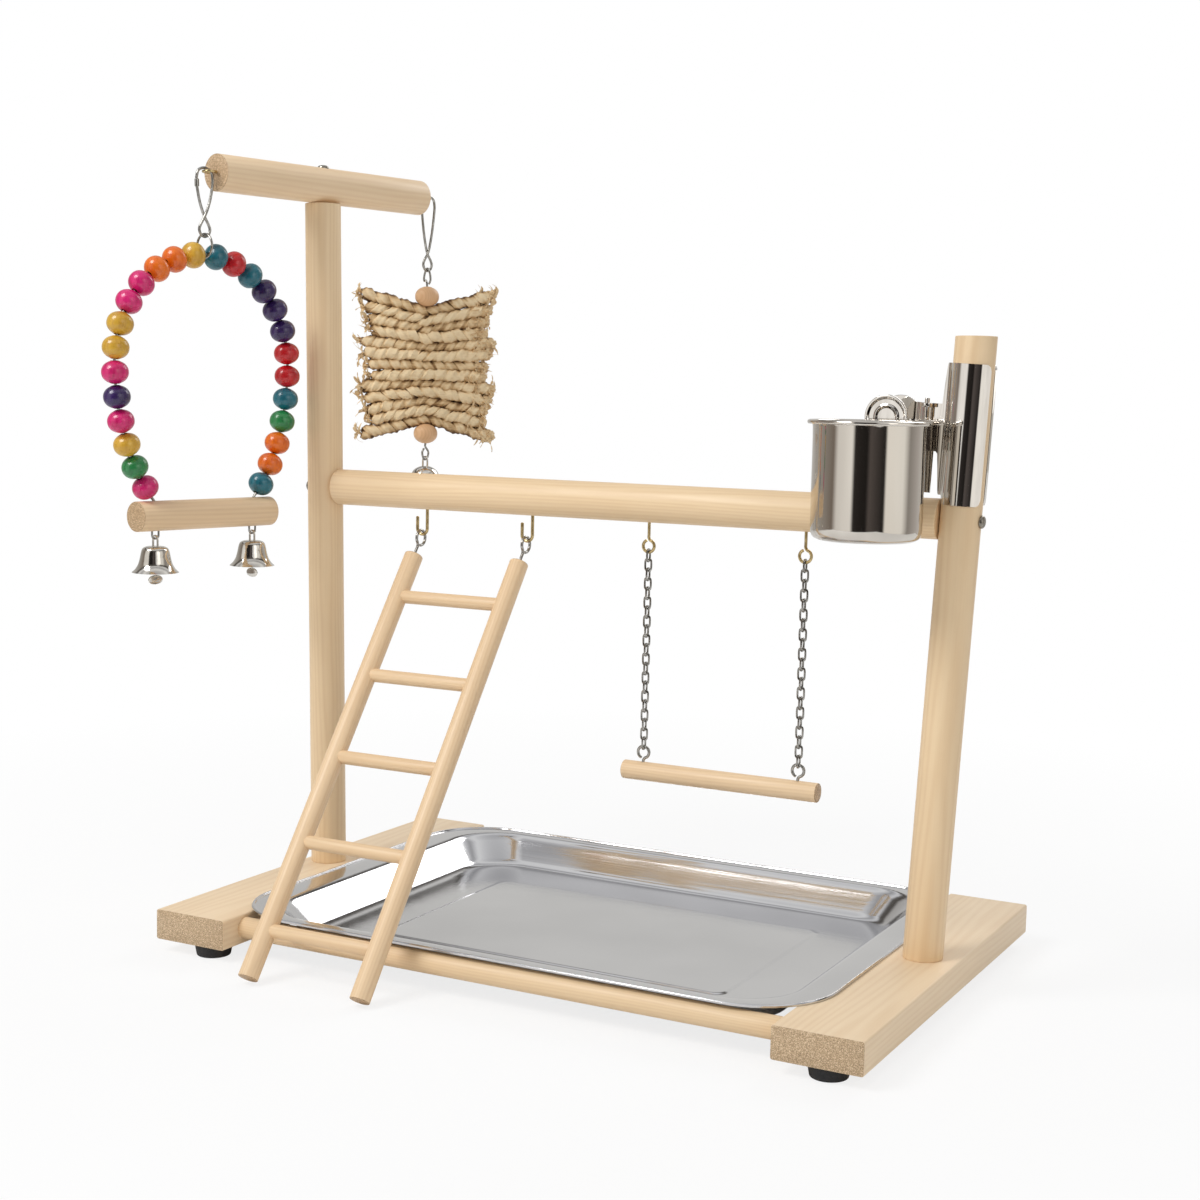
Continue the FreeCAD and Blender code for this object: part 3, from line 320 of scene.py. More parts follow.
rail_height, rail_end = -9.5, 200.5
for end, y in (("front", -140.0), ("rear", 151.5)):
    rail = [bar_grid(at(-rail_end, y, rail_height), at(rail_end, y, rail_height), 7.0)]
    rail = skin(end + "_dowel_rail", rail, "stand", [end + "_base_rail"])
    wood(end + "_base_rail_wood", (1, 0, 0), at(0, y, rail_height), (0.86, 0.65, 0.41),
         (0.66, 0.43, 0.22), pith=(6.0, -9.0), rings=1.7).on(rail)

# ----------------------------------------
# Rubber feet: black moulded cones under the board ends, each held by a zinc-plated
# pan-head screw that sits in a recess.


def eased(profile, share=0.3, steps=4):
    """A bent line with each corner swapped for a short parabola between points a share of the
    way along its two sides."""
    p = np.asarray(profile, float)
    corner = p[1:-1, None]
    before = corner + (p[:-2, None] - corner) * share
    after = corner + (p[2:, None] - corner) * share
    t = np.linspace(0, 1, steps)[None, :, None]
    bend = (1 - t) ** 2 * before + 2 * t * (1 - t) * corner + t ** 2 * after
    return np.concatenate([p[:1], bend.reshape(-1, p.shape[1]), p[-1:]])


foot_places = [(x, y) for x in (-209.5, 221.0) for y in (-148.5, 148.5)]
foot_profile = eased([(0.01, 4.0), (4.5, 4.0), (4.5, 0.0), (11.0, 0.0), (12.5, 8.0), (0.01, 8.0)], 0.12)
feet = skin("rubber_foot_set", [turned_grid(foot_profile, at(x, y, -28)) for x, y in foot_places],
            "stand", ["rubber_feet"])
rubber = Finish("foot_rubber", Roughness=0.6, Specular_IOR_Level=0.35)
speck = rubber.noise(rubber.place(), 900.0)
rubber.colour(rubber.ramp(speck, [(0.3, (0.012, 0.012, 0.013)), (0.75, (0.03, 0.03, 0.032))]))
rubber.roughness(speck * 0.25 + 0.45)
rubber.bump(speck, 0.3, 0.0002)
rubber.on(feet)


def screw_grid(seat, into, head, shank, length):
    """A pan-head screw: a domed head over its seat, and a pointed shank."""
    half, core = head / 2, shank / 2
    dome = [(0.01, 0.56 * half), (0.24 * half, 0.5 * half), (0.3 * half, 0.68 * half),
            (0.7 * half, 0.6 * half), (0.93 * half, 0.42 * half), (half, 0.2 * half), (half, 0.0),
            (core, 0.0), (core, -length + shank), (0.01, -length)]
    return turned_grid(eased(dome, 0.2, 3), seat, -np.asarray(into, float), 40)


def plating(name, scale, stops, rough, relief):
    """Bright or plated metal: one noise mottles its colour, its gloss and its skin. rough is how
    much the noise adds to a least roughness, and relief is the bump's strength and distance."""
    finish = Finish(name, Metallic=1.0)
    mottle = finish.noise(finish.place(), scale)
    finish.colour(finish.ramp(mottle, stops))
    finish.roughness(mottle * rough[0] + rough[1])
    finish.bump(mottle, *relief)
    return finish


zinc = plating("zinc_plating", 700.0, [(0.3, (0.2, 0.18, 0.15)), (0.7, (0.42, 0.39, 0.34))],
               (0.2, 0.2), (0.1, 0.0001))
foot_screws = [screw_grid(at(x, y, -24), (0, 0, 1), 7.5, 4, 16) for x, y in foot_places]
zinc.on(skin("foot_screw_set", foot_screws, "stand", ["foot_screws"]))

# ----------------------------------------
# Posts: 25 mm pine dowels that lean outwards a little, cut level at both ends and screwed up
# through the boards. The left one is the taller and carries the top perch.

post_feet = {"left": -228.5, "right": 223.0}
post_heights = {"left": 472.0, "right": 383.0}
post_leans = {"left": -math.radians(1.05), "right": math.radians(2.56)}
post_piths = {"left": (13.0, -16.0), "right": (-9.0, 18.0)}
bar_radius = 12.5
row_y = 5.0


def post_point(side, height):
    """The middle of a post at a height over the boards."""
    return at(post_feet[side] + math.tan(post_leans[side]) * height, row_y, height)


for side in ("left", "right"):
    low, high = post_point(side, 0), post_point(side, post_heights[side])
    upright = at(post_feet[side], row_y, post_heights[side])
    shaft = bar_grid(at(post_feet[side], row_y, 0), upright, bar_radius, 0.5, 72)
    shaft[..., 0] += np.tan(post_leans[side]) * (shaft[..., 2] - stand[2])
    post = skin(side + "_dowel_post", [shaft], "stand", [side + "_post"])
    wood(side + "_post_wood", high - low, low, (0.89, 0.68, 0.43), (0.7, 0.46, 0.24),
         post_piths[side], rings=2.6).on(post)
post_screws = [screw_grid(at(x, row_y, -16.5), (0, 0, 1), 9, 5, 52) for x in post_feet.values()]
zinc.on(skin("post_screw_set", post_screws, "stand", ["post_screws"]))

# ----------------------------------------
# Crossbar: a 25 mm dowel between the posts, held by one long screw through each post. Its ends
# are cut to the posts' slope.

bar_height = 273.0
left_end = post_point("left", bar_height) + np.array([bar_radius, 0, 0])
right_end = post_point("right", bar_height) - np.array([bar_radius, 0, 0])
crossbar = bar_grid(left_end, right_end, bar_radius, 0.3, 72)
share = (crossbar[..., 0] - left_end[0]) / (right_end[0] - left_end[0])
slope = np.tan(post_leans["left"]) * (1 - share) + np.tan(post_leans["right"]) * share
crossbar[..., 0] += slope * (crossbar[..., 2] - stand[2] - bar_height) * np.abs(2 * share - 1) ** 8
bar = skin("crossbar_dowel", [crossbar], "stand", ["crossbar"])
wood("crossbar_wood", (1, 0, 0), at(0, row_y, bar_height), (0.89, 0.68, 0.43), (0.7, 0.46, 0.24),
     pith=(-8.0, -15.0), rings=2.4).on(bar)
bar_screws = []
for side, out in (("left", -1), ("right", 1)):
    lean = post_leans[side]
    square = np.array([math.cos(lean), 0, -math.sin(lean)]) * out
    bar_screws.append(screw_grid(post_point(side, bar_height) + square * bar_radius, -square, 8, 4, 55))
zinc.on(skin("crossbar_screw_set", bar_screws, "stand", ["crossbar_screws"]))

# ----------------------------------------
# Top perch: a 25 mm dowel laid across the left post and held by one screw down into it. A
# brass screw eye in each end grain carries a toy.

perch_turn = math.radians(78)
forth = np.array([math.cos(perch_turn), math.sin(perch_turn), 0.0])
aside = np.array([-forth[1], forth[0], 0.0])
up = np.array([0, 0, 1.0])
perch_reach, eye_reach = 95.0, 9.6
perch_middle = post_point("left", post_heights["left"]) + up * bar_radius
front_end = perch_middle - forth * perch_reach
rear_end = perch_middle + forth * perch_reach
front_pivot = front_end - forth * eye_reach
rear_pivot = rear_end + forth * eye_reach
perch = [bar_grid(front_end, rear_end, bar_radius, 0.5, 72)]
wood("top_perch_wood", forth, perch_middle, (0.92, 0.71, 0.47), (0.72, 0.48, 0.27), pith=(7.0, -19.0),
     rings=2.8, sawn_at=94.7).on(skin("top_perch_dowel", perch, "stand", ["top_perch"]))
zinc.on(skin("top_perch_screw_head", [screw_grid(perch_middle + up * 11.6, -up, 8, 4, 60)],
             "stand", ["top_perch_screw"]))


def in_plane(origin, side, rise, pairs):
    """Points from (sideways, upwards) pairs in a plane."""
    pairs = np.asarray(pairs, float)
    return np.asarray(origin) + pairs[:, :1] * np.asarray(side) + pairs[:, 1:] * np.asarray(rise)


def curve(points, steps=6, closed=False):
    """A smooth line through points: between two of them it is the cubic whose slope at each
    point is half the step from the point before to the point after."""
    p = np.asarray(points, float)
    if closed:
        q = np.concatenate([p[-1:], p, p[:2]])
    else:
        q = np.concatenate([2 * p[:1] - p[1:2], p, 2 * p[-1:] - p[-2:-1]])
    a, b, c, d = q[:-3, None], q[1:-2, None], q[2:-1, None], q[3:, None]
    t = np.linspace(0, 1, steps, endpoint=False)[None, :, None]
    bend = (2 * a - 5 * b + 4 * c - d) * t ** 2 + (3 * b - a - 3 * c + d) * t ** 3
    out = (0.5 * (2 * b + (c - a) * t + bend)).reshape(-1, 3)
    return out if closed else np.concatenate([out, p[-1:]])


def wire_grid(path, thickness, normal, closed=False, columns=12):
    """A wire: a circle carried along a path, square to it, with one direction held near the
    normal of the path's plane. Open ends are rounded over."""
    path = np.asarray(path, float)
    if closed:
        run = np.roll(path, -1, 0) - np.roll(path, 1, 0)
    else:
        run = np.gradient(path, axis=0)
    run = unit(run)
    side = unit(np.cross(np.broadcast_to(normal, run.shape), run))
    rise = np.cross(run, side)
    turn = np.linspace(0, 2 * np.pi, columns, endpoint=False)
    radius = np.full(len(path), thickness / 2)
    if not closed:
        tip = thickness * 0.2
        path = np.concatenate([path[:1] - run[:1] * tip, path, path[-1:] + run[-1:] * tip])
        side = np.concatenate([side[:1], side, side[-1:]])
        rise = np.concatenate([rise[:1], rise, rise[-1:]])
        radius = np.concatenate([[thickness * 0.3], radius, [thickness * 0.3]])
    ring = np.cos(turn)[None, :, None] * side[:, None] + np.sin(turn)[None, :, None] * rise[:, None]
    return path[:, None] + radius[:, None, None] * ring


def bent_wire(origin, side, rise, pairs, thickness, columns=12):
    """A wire smoothly bent through (sideways, upwards) pairs in a plane."""
    path = curve(in_plane(origin, side, rise, pairs))
    return wire_grid(path, thickness, np.cross(side, rise), columns=columns)


def arc(radius, start, end, steps, across=0.0, rise=0.0):
    """(sideways, upwards) pairs round an arc, angles in degrees."""
    turn = np.radians(np.linspace(start, end, steps))
    return np.stack([across + radius * np.cos(turn), rise + radius * np.sin(turn)], -1).tolist()


def eye_grid(middle, side, rise, radius, shank):
    """A screw eye: a ring that is almost closed, with its shank running on from the top."""
    pairs = [(0, radius + shank), (0, radius + 5), (0, radius + 1.6)] + arc(radius, 75, -245, 14)
    return bent_wire(middle, side, rise, pairs, 2.0)


brass = plating("bright_brass", 260.0, [(0.3, (0.42, 0.3, 0.13)), (0.65, (0.66, 0.52, 0.27))],
                (0.25, 0.12), (0.08, 0.0002))
for end, pivot, inward in (("front", front_pivot, forth), ("rear", rear_pivot, -forth)):
    eye = eye_grid(pivot + inward * 4.3, np.cross(inward, up), inward, 4.3, 24)
    brass.on(skin(end + "_screw_eye", [eye], "stand", [end + "_perch_eye"]))

# ----------------------------------------
# Hooks and eyes in the crossbar: two bent brass cup hooks for the ladder and two brass screw
# eyes for the swing's chains, each screwed straight into the wood.

hook_height = bar_height - 30.0
ladder_x = np.array([-150.5, -66.0])
hooks = []
for x in ladder_x:
    pairs = [(4, 22), (4, 12), (4, 2)] + arc(4, 0, -180, 9) + [(-4, 4), (-4, 8)]
    hooks.append(bent_wire(at(x, row_y, hook_height + 4), (1, 0, 0), up, pairs, 2.2))
brass.on(skin("cup_hooks", hooks, "stand", ["ladder_hooks"]))

swing_x = np.array([26.0, 136.0])
eye_height = bar_height - 32.0
chain_eyes = [eye_grid(at(x, row_y, eye_height + 4), (1, 0, 0), up, 4.0, 24) for x in swing_x]
brass.on(skin("chain_eyes", chain_eyes, "stand", ["swing_eyes"]))

# ----------------------------------------
# Ladder: two 13 mm dowel rails with five 9 mm rungs glued into them. It hangs from the cup
# hooks by a screw eye in each rail's top and leans forward until its toes stand on the floor.

ladder_length = 312.0
ladder_radius = 6.5
ladder_eye = 5.3
rail_start = 2 * ladder_eye + 9.4 - 2.35
reach = rail_start + ladder_length
hinge_rise = at(0, row_y, hook_height)[2]
lean = math.acos(hinge_rise / math.hypot(reach, ladder_radius)) + math.atan2(ladder_radius, reach)
down = np.array([0, -math.sin(lean), -math.cos(lean)])
rungs = []
for k in range(5):
    drop = down * (rail_start + 33.0 + k * 61.6)
    ends = [at(x, row_y, hook_height) + drop for x in ladder_x + (2, -2)]
    rungs.append(bar_grid(*ends, 4.5, 0.2, 40))
rung_set = skin("ladder_rung_set", rungs, "ladder", ["ladder_rungs"])
wood("rung_wood", (1, 0, 0), at(-108, row_y, 100), (0.86, 0.64, 0.4), (0.66, 0.42, 0.22),
     pith=(40.0, 25.0), rings=1.9).on(rung_set)
ladder_eyes = []
for side, x, pith in (("left", ladder_x[0], (7.0, 8.0)), ("right", ladder_x[1], (-9.0, 5.0))):
    hinge = at(x, row_y, hook_height)
    head = hinge + down * rail_start
    rail = [bar_grid(head, head + down * ladder_length, ladder_radius, 0.5, 48)]
    rail = skin(side + "_ladder_dowel", rail, "ladder", [side + "_ladder_rail"])
    wood(side + "_ladder_wood", down, head + down * ladder_length / 2, (0.88, 0.66, 0.42),
         (0.66, 0.42, 0.22), pith, rings=1.8, sawn_at=155.6).on(rail)
    ladder_eyes.append(eye_grid(hinge + down * 2.95, np.cross(down, (1.0, 0, 0)), down, ladder_eye, 24))
nickel = plating("nickel_wire", 420.0, [(0.3, (0.27, 0.26, 0.24)), (0.7, (0.5, 0.49, 0.46))],
                 (0.18, 0.14), (0.08, 0.0002))
nickel.on(skin("ladder_screw_eyes", ladder_eyes, "ladder", ["ladder_eyes"]))

# ----------------------------------------
# Chain swing: two lengths of welded steel link chain, every second link turned a quarter turn,
# that carry a thin dowel perch by two screw eyes.

link_wire, link_pitch, link_count = 1.4, 6.25, 21
play = 0.25
link_tall = link_pitch + link_wire + 0.4
first_top = eye_height + 1.0 + link_wire / 2 + play
link_pairs = np.array([(2.15, link_tall / 2 - 1.9), (1.55, link_tall / 2 - 0.5), (0, link_tall / 2),
                       (-1.55, link_tall / 2 - 0.5), (-2.15, link_tall / 2 - 1.9)])
link_pairs = np.concatenate([link_pairs, -link_pairs])
for side, x in zip(("left", "right"), swing_x):
    links = []
    for k in range(link_count):
        middle = at(x, row_y, first_top - link_tall / 2 - k * link_pitch)
        across = np.array([0, 1.0, 0]) if k % 2 == 0 else np.array([1.0, 0, 0])
        path = curve(in_plane(middle, across, up, link_pairs), 3, closed=True)
        links.append(wire_grid(path, link_wire, np.cross(across, up), closed=True, columns=8))
    nickel.on(skin(side + "_link_chain", links, "chains", [side + "_chain"], looped=True))

swing_eye_top = first_top - link_tall - (link_count - 1) * link_pitch + link_wire / 2 + 1.0 + play
swing_radius = 6.25
swing_middle = at(81, row_y, swing_eye_top - 8.0 - 2.5 - swing_radius)
swing_half = np.array([69.0, 0, 0])
swing_perch = [bar_grid(swing_middle - swing_half, swing_middle + swing_half, swing_radius, 0.5, 48)]
wood("swing_wood", (1, 0, 0), swing_middle, (0.89, 0.67, 0.43), (0.66, 0.43, 0.23), pith=(5.0, -8.0),
     rings=1.9, sawn_at=68.7).on(skin("swing_dowel", swing_perch, "swing", ["swing_perch"]))
perch_eyes = [eye_grid(at(x, row_y, swing_eye_top - 4.0), (1, 0, 0), -up, 4.0, 11) for x in swing_x]
nickel.on(skin("swing_perch_screw_eyes", perch_eyes, "swing", ["swing_perch_eyes"]))

# ----------------------------------------
# Snap hooks: one bent spring wire each. It arches over the screw eye, crosses at the waist and
# closes a drop-shaped lower loop; a small sleeve holds the gate's end.


def snap_hook(name, pivot, side, drop, body, node):
    """A smooth wire line through the hook's bends, and a turned sleeve over the gate's end."""
    waist = 14.5 - drop
    upper = (waist - 10) / 2
    plan = np.array([
        (6.4, -10.4, 0), (3.7, upper - 1, 0.5), (0, waist, 1), (-3.6, waist - 6.5, 0.5),
        (-4.4, waist - 10, 0), (-2.9, 1.3 - drop, 0), (0, -drop, 0), (2.9, 1.3 - drop, 0),
        (4.4, waist - 10, 0), (3.6, waist - 6.5, -0.5), (0, waist, -1), (-3.7, upper - 1, -0.5),
        (-6.4, -10, 0), (-6.6, -4, 0), (-5.0, 0.4, 0), (0, 2.1, 0), (5.0, 0.4, 0), (6.6, -4, 0),
        (6.5, -6.0, 0)])
    across = np.cross(side, up)
    points = pivot + plan[:, :1] * side + plan[:, 1:2] * up + plan[:, 2:] * 0.9 * across
    wire = wire_grid(curve(points, 8), 1.9, across)
    sleeve = bar_grid(pivot + side * 6.5 - up * 5.6, pivot + side * 6.35 - up * 10.6, 1.5, 0.3, 24)
    nickel.on(skin(name, [wire, sleeve], body, [node]))


bead_drop, toy_drop = 43.0, 53.0
snap_hook("bead_snap_clip", front_pivot, -forth, bead_drop, "bead_hanger", "bead_snap_hook")
snap_hook("toy_snap_clip", rear_pivot, -forth, toy_drop, "toy_hanger", "toy_snap_hook")
ring_radius, ring_wire = 7.8, 1.6
ring_middle = front_pivot - up * (bead_drop - ring_wire + ring_radius - play)
ring_path = curve(in_plane(ring_middle, aside, up, arc(ring_radius, 15, 345, 12)), 4, closed=True)
ring = wire_grid(ring_path, ring_wire, forth, closed=True)
nickel.on(skin("bead_jump_ring", [ring], "bead_hanger", ["bead_ring"], looped=True))

# ----------------------------------------
# Bead swing: 26 dyed and varnished wooden beads threaded on a steel wire, whose ends are let
# into a round perch.

arch_pivot = ring_middle - up * (ring_radius - ring_wire / 2 - 1.0 - play)
arch_tall = 72.0
widest = arch_pivot - up * arch_tall
half_width = 72.5
foot_drop = 91.0
lower_axis = foot_drop / math.sqrt(1 - (42.0 / half_width) ** 2)
turn = np.linspace(-math.asin(foot_drop / lower_axis), np.pi / 2, 721)
arch_across = half_width * np.cos(turn)
arch_rise = np.sin(turn) * np.where(turn > 0, arch_tall, lower_axis)
arch_length = np.concatenate([[0], np.cumsum(np.hypot(np.diff(arch_across), np.diff(arch_rise)))])
half_arch = arch_length[-1]


def arch_at(length):
    """Places on the arch at lengths from its top: a half ellipse above its widest place, and a
    longer one below, walked by length."""
    length = np.asarray(length, float)
    wanted = half_arch - np.abs(length)
    across = np.interp(wanted, arch_length, arch_across) * np.sign(length)
    rise = np.interp(wanted, arch_length, arch_rise)
    return widest + across[..., None] * forth + rise[..., None] * up


top_gap = 1.6
bead_pitch = (half_arch - top_gap - 3.4) / 13
joints = top_gap + np.arange(14) * bead_pitch
left_spots, right_spots = arch_at(-joints[::-1]), arch_at(joints)
near_foot, far_foot = arch_at([-half_arch]), arch_at([half_arch])
arch_path = np.concatenate([near_foot - up * 12, near_foot, left_spots, right_spots, far_foot,
                            far_foot - up * 12])
arch_wire = [wire_grid(arch_path, 2.0, aside)]
nickel.on(skin("arch_wire", arch_wire, "bead_swing", ["bead_arch_wire"]))


def bead_grid(centre, along, length, diameter, bore, columns=36):
    """A round bead with a drilled hole: its radius falls from the middle as a flattened circle,
    then the skin turns in over a soft lip and runs back through the hole."""
    t = np.linspace(-0.93, 0.93, 19)
    swell = (1 - np.abs(t) ** 2.15) ** 0.5
    outer = np.stack([swell * diameter / 2, t * length / 2], -1)
    lip = np.array([(bore * 0.72, length * 0.49), (bore / 2, length * 0.455)])
    profile = np.concatenate([[(bore / 2, 0.0)], lip[::-1] * [1, -1], outer, lip, [(bore / 2, 0.0)]])
    return turned_grid(profile, centre, along, columns)


dyes = {
    "pink": ((0.7, 0.012, 0.17), (0.42, 0.004, 0.075)),
    "green": ((0.02, 0.23, 0.06), (0.008, 0.11, 0.03)),
    "yellow": ((0.68, 0.4, 0.04), (0.46, 0.22, 0.012)),
    "purple": ((0.035, 0.012, 0.1), (0.014, 0.005, 0.045)),
    "orange": ((0.84, 0.17, 0.003), (0.6, 0.08, 0.002)),
    "teal": ((0.008, 0.15, 0.2), (0.004, 0.065, 0.095)),
    "red": ((0.58, 0.006, 0.012), (0.34, 0.002, 0.005)),
}
bead_order = ("pink green yellow pink purple pink yellow yellow pink pink orange orange yellow "
              "teal red teal purple purple purple red red teal green orange orange teal").split()
spots_before = np.concatenate([left_spots[:-1], right_spots[:-1]])
spots_after = np.concatenate([left_spots[1:], right_spots[1:]])
bead_gap, bead_size, bead_bore = 0.7, 17.5, 3.4
for colour, (bright, deep) in dyes.items():
    beads = []
    for dye, before, after in zip(bead_order, spots_before, spots_after):
        if dye == colour:
            length = np.linalg.norm(after - before) - bead_gap
            beads.append(bead_grid((after + before) / 2, after - before, length, bead_size, bead_bore))
    finish = Finish(colour + "_dye", Roughness=0.35, Coat_Weight=0.35, Coat_Roughness=0.1)
    where = finish.place()
    grain = finish.noise(finish.stretch(where, (420, 420, 90), (0.5, 0.3, 0)), 1.0, 3.0, 0.7)
    patch = finish.noise(where, 85.0, 2.0)
    worn = tuple(min(1.0, 1.15 * c + 0.004) for c in bright)
    share = grain * 0.5 + patch * 0.55 - 0.05
    finish.colour(finish.ramp(share, [(0.25, deep), (0.55, bright), (0.9, worn)]))
    finish.roughness(grain * 0.2 + 0.2)
    finish.bump(grain, 0.12, 0.0002)
    finish.on(skin(colour + "_bead_group", beads, "bead_swing", [colour + "_beads"],
                   looped=True))

bead_perch_radius = 10.0
bead_perch_middle = widest - up * (foot_drop + bead_perch_radius)
bead_perch_half = forth * 56.5
bead_perch = skin("bead_swing_dowel",
                  [bar_grid(bead_perch_middle - bead_perch_half, bead_perch_middle + bead_perch_half,
                            bead_perch_radius, 0.5, 64)], "bead_swing", ["bead_swing_perch"])
wood("bead_perch_wood", forth, bead_perch_middle, (0.89, 0.67, 0.43), (0.66, 0.43, 0.23),
     pith=(6.0, -12.0), rings=2.3, sawn_at=56.2).on(bead_perch)

# ----------------------------------------
# Bells: two pressed and flared bells under the bead perch, nickel plated, each on a wire
# staple, with a flat clapper that shows under its mouth.


def staple_grid(top, side, depth, reach=6.0):
    """A wire staple that hangs a depth below a surface and reaches into it with both legs."""
    pairs = [(-2.6, reach), (-2.6, 2.6 - depth), (-1.9, 0.7 - depth), (0, -depth), (1.9, 0.7 - depth),
             (2.6, 2.6 - depth), (2.6, reach)]
    return bent_wire(top, side, up, pairs, 1.4)


def crown_loop(pivot, side, drop):
    """A wire loop that stands on a bell's crown and goes over the staple."""
    pairs = [(-2.4, -drop - 1.0), (-2.3, -0.6), (-1.5, 1.3), (0, 1.9), (1.5, 1.3), (2.3, -0.6),
             (2.4, -drop - 1.0)]
    return bent_wire(pivot, side, up, pairs, 1.4)


def clapper_grids(pivot, side, blade, length, width, height):
    """A hook and stem of thin wire with a flat drop: an ellipse in plan, thin at its edge."""
    pairs = [(-1.6, -1.2), (-1.2, 0.9), (0, 1.55), (1.2, 0.9), (1.5, -0.9), (0.1, -2.9), (0, -5),
             (0, -length)]
    stem = bent_wire(pivot, side, up, pairs, 1.0, 8)
    across = np.cross(blade, up)
    lift = np.linspace(-1, 1, 15)
    swell = (1 - lift ** 2) ** 0.5 + 0.01
    turn = np.linspace(0, 2 * np.pi, 32, endpoint=False)
    disc = (pivot - up * length + lift[:, None, None] * height / 2 * up
            + (swell[:, None] * np.cos(turn))[..., None] * width / 2 * blade
            + (swell[:, None] * np.sin(turn))[..., None] * 0.8 * across)
    return [stem, disc]


plate = plating("bell_plating", 120.0, [(0.3, (0.56, 0.53, 0.48)), (0.7, (0.78, 0.75, 0.7))],
                (0.1, 0.06), (0.1, 0.0004))
crown_drop = 5.0


def hang_bell(names, clapper_names, pivot, outer, inner, wall, inside, clapper_drop, clapper):
    """A bell under its pivot, with a loop on its crown and a staple inside, and its clapper. Each
    set of names is a piece's, its body's and that of the node it replaces."""
    crown = pivot - up * crown_drop
    profile = np.concatenate([eased(outer, 0.4, 4), eased(inner, 0.4, 4)])
    bell = [turned_grid(profile, crown), crown_loop(pivot, aside, crown_drop),
            staple_grid(crown - up * wall, forth, 3.2, inside)]
    swing = clapper_grids(pivot - up * clapper_drop, aside, *clapper)
    for (name, body, node), grids in ((names, bell), (clapper_names, swing)):
        plate.on(skin(name, grids, body, [node]))


bell_outer = [(0.01, 0), (5.8, 0), (8.4, -1.3), (9.3, -3.8), (10.1, -8.2), (11.2, -12.2), (13.2, -15.4),
              (15.4, -17.3)]
bell_inner = [(14.9, -17.5), (12.4, -15.4), (10.3, -12.3), (9.1, -8.4), (8.4, -4.4), (6.8, -2.2),
              (0.01, -1.3)]
staples = []
for side, sign, blade in (("left", -1, forth), ("right", 1, aside)):
    under = bead_perch_middle + forth * (sign * 41.0) - up * bead_perch_radius
    staples.append(staple_grid(under, forth, 5.0))
    names = side + "_flared_bell", side + "_bell", side + "_bell"
    clapper_names = side + "_bell_clapper", side + "_clapper", side + "_clapper"
    hang_bell(names, clapper_names, under - up * 5.0, bell_outer, bell_inner, 1.2, 0.4, 9.3,
              (blade, 18, 11.6, 6.5))
nickel.on(skin("bell_staple_pair", staples, "bead_swing", ["bell_staples"]))

# ----------------------------------------
# Husk toy: maize husk twisted into rows on a wire between two wooden beads. The rows are
# two-ply and loosely laid, and their right ends are knotted and frayed.

core_length = 118.5
toy_pivot = rear_pivot - up * toy_drop
core_top = toy_pivot - up * 11.0
core_end = core_top - up * core_length
top_loop = [(0, -11.0 - core_length), (0, -60), (0, -12), (3.4, -7), (2.4, -1), (0, 1.95), (-2.4, -1),
            (-3.4, -6.5), (-1.9, -9.6)]
low_loop = [(0, 0.05), (0, -2), (3.2, -6), (2.3, -10), (0, -11.7), (-2.3, -10), (-3.2, -6.2),
            (-1.6, -3.4)]
core = [bent_wire(toy_pivot, aside, up, top_loop, 1.6), bent_wire(core_end, forth, up, low_loop, 1.6)]
nickel.on(skin("toy_core_wire", core, "husk_toy", ["toy_wire"]))
plain_beads = [bead_grid(place, up, 15.0, 18.0, 3.2) for place in (core_top - up * 8, core_end + up * 8)]
wood("toy_bead_wood", (0, 0, 1), core_top, (0.82, 0.52, 0.29), (0.6, 0.33, 0.15), pith=(6, 9),
     rings=1.6).on(skin("toy_wood_beads", plain_beads, "husk_toy", ["toy_beads"], looped=True))

husk_turn = math.radians(36)
husk_side = np.array([math.cos(husk_turn), math.sin(husk_turn), 0.0])
husk_across = np.array([-husk_side[1], husk_side[0], 0.0])
row_count, row_half = 13, 54.0
row_room = core_length - 31.0 - 2.0
row_pitch = row_room / row_count
seed = np.random.default_rng(7)


def row_line(middle, rank, x, bow, reach):
    """A row's line: it bows forwards or back, and its ends fan out by the distance from the
    core to the power 0.95, the more the farther the row is from the toy's middle."""
    far = np.abs(x) / row_half
    return (middle + x[:, None] * husk_side + (bow * (1 - (x / reach) ** 2))[:, None] * husk_across
            + (rank * 14.0 * far ** 0.95)[:, None] * up)


def husk_ply(middle, rank, reach, bow, phase, pitch, thick, lift):
    """One ply of a twisted row: a flattened, wrinkled tube on a helix round the row's line. Its
    thickness swells and pinches along the row, and lengthways folds run round its skin."""
    s = np.linspace(-1, 1, 150)
    x = s * reach
    angle = phase + 2 * np.pi * x / pitch
    line = row_line(middle, rank, x, bow, reach) + (lift * np.sin(2.2 * s + phase))[:, None] * up
    wind = 2.5 * (np.cos(angle)[:, None] * up * 0.8 + np.sin(angle)[:, None] * husk_across)
    path = line + wind
    run = unit(np.gradient(path, axis=0))
    outward = unit(wind - (wind * run).sum(1, keepdims=True) * run)
    other = np.cross(run, outward)
    turn = np.linspace(0, 2 * np.pi, 22, endpoint=False)
    swell = 1 + 0.17 * np.sin(x / 3.1 + phase * 5) + 0.1 * np.sin(x / 1.3 + phase * 9)
    swell = swell * (1 + 0.3 * np.abs(x) / row_half)
    wander = 1.7 * np.sin(x[:, None] / 6 + phase)
    folds = 1 + 0.11 * np.sin(5 * turn[None] + wander) + 0.05 * np.sin(9 * turn[None] + x[:, None] / 2.5)
    close = np.clip((1 - np.abs(s)) * 14, 0.25, 1.0) ** 0.5
    radius = (thick * swell * close)[:, None] * folds
    ring = 0.8 * np.cos(turn)[None, :, None] * outward[:, None] \
        + 1.12 * np.sin(turn)[None, :, None] * other[:, None]
    return path[:, None] + radius[..., None] * ring


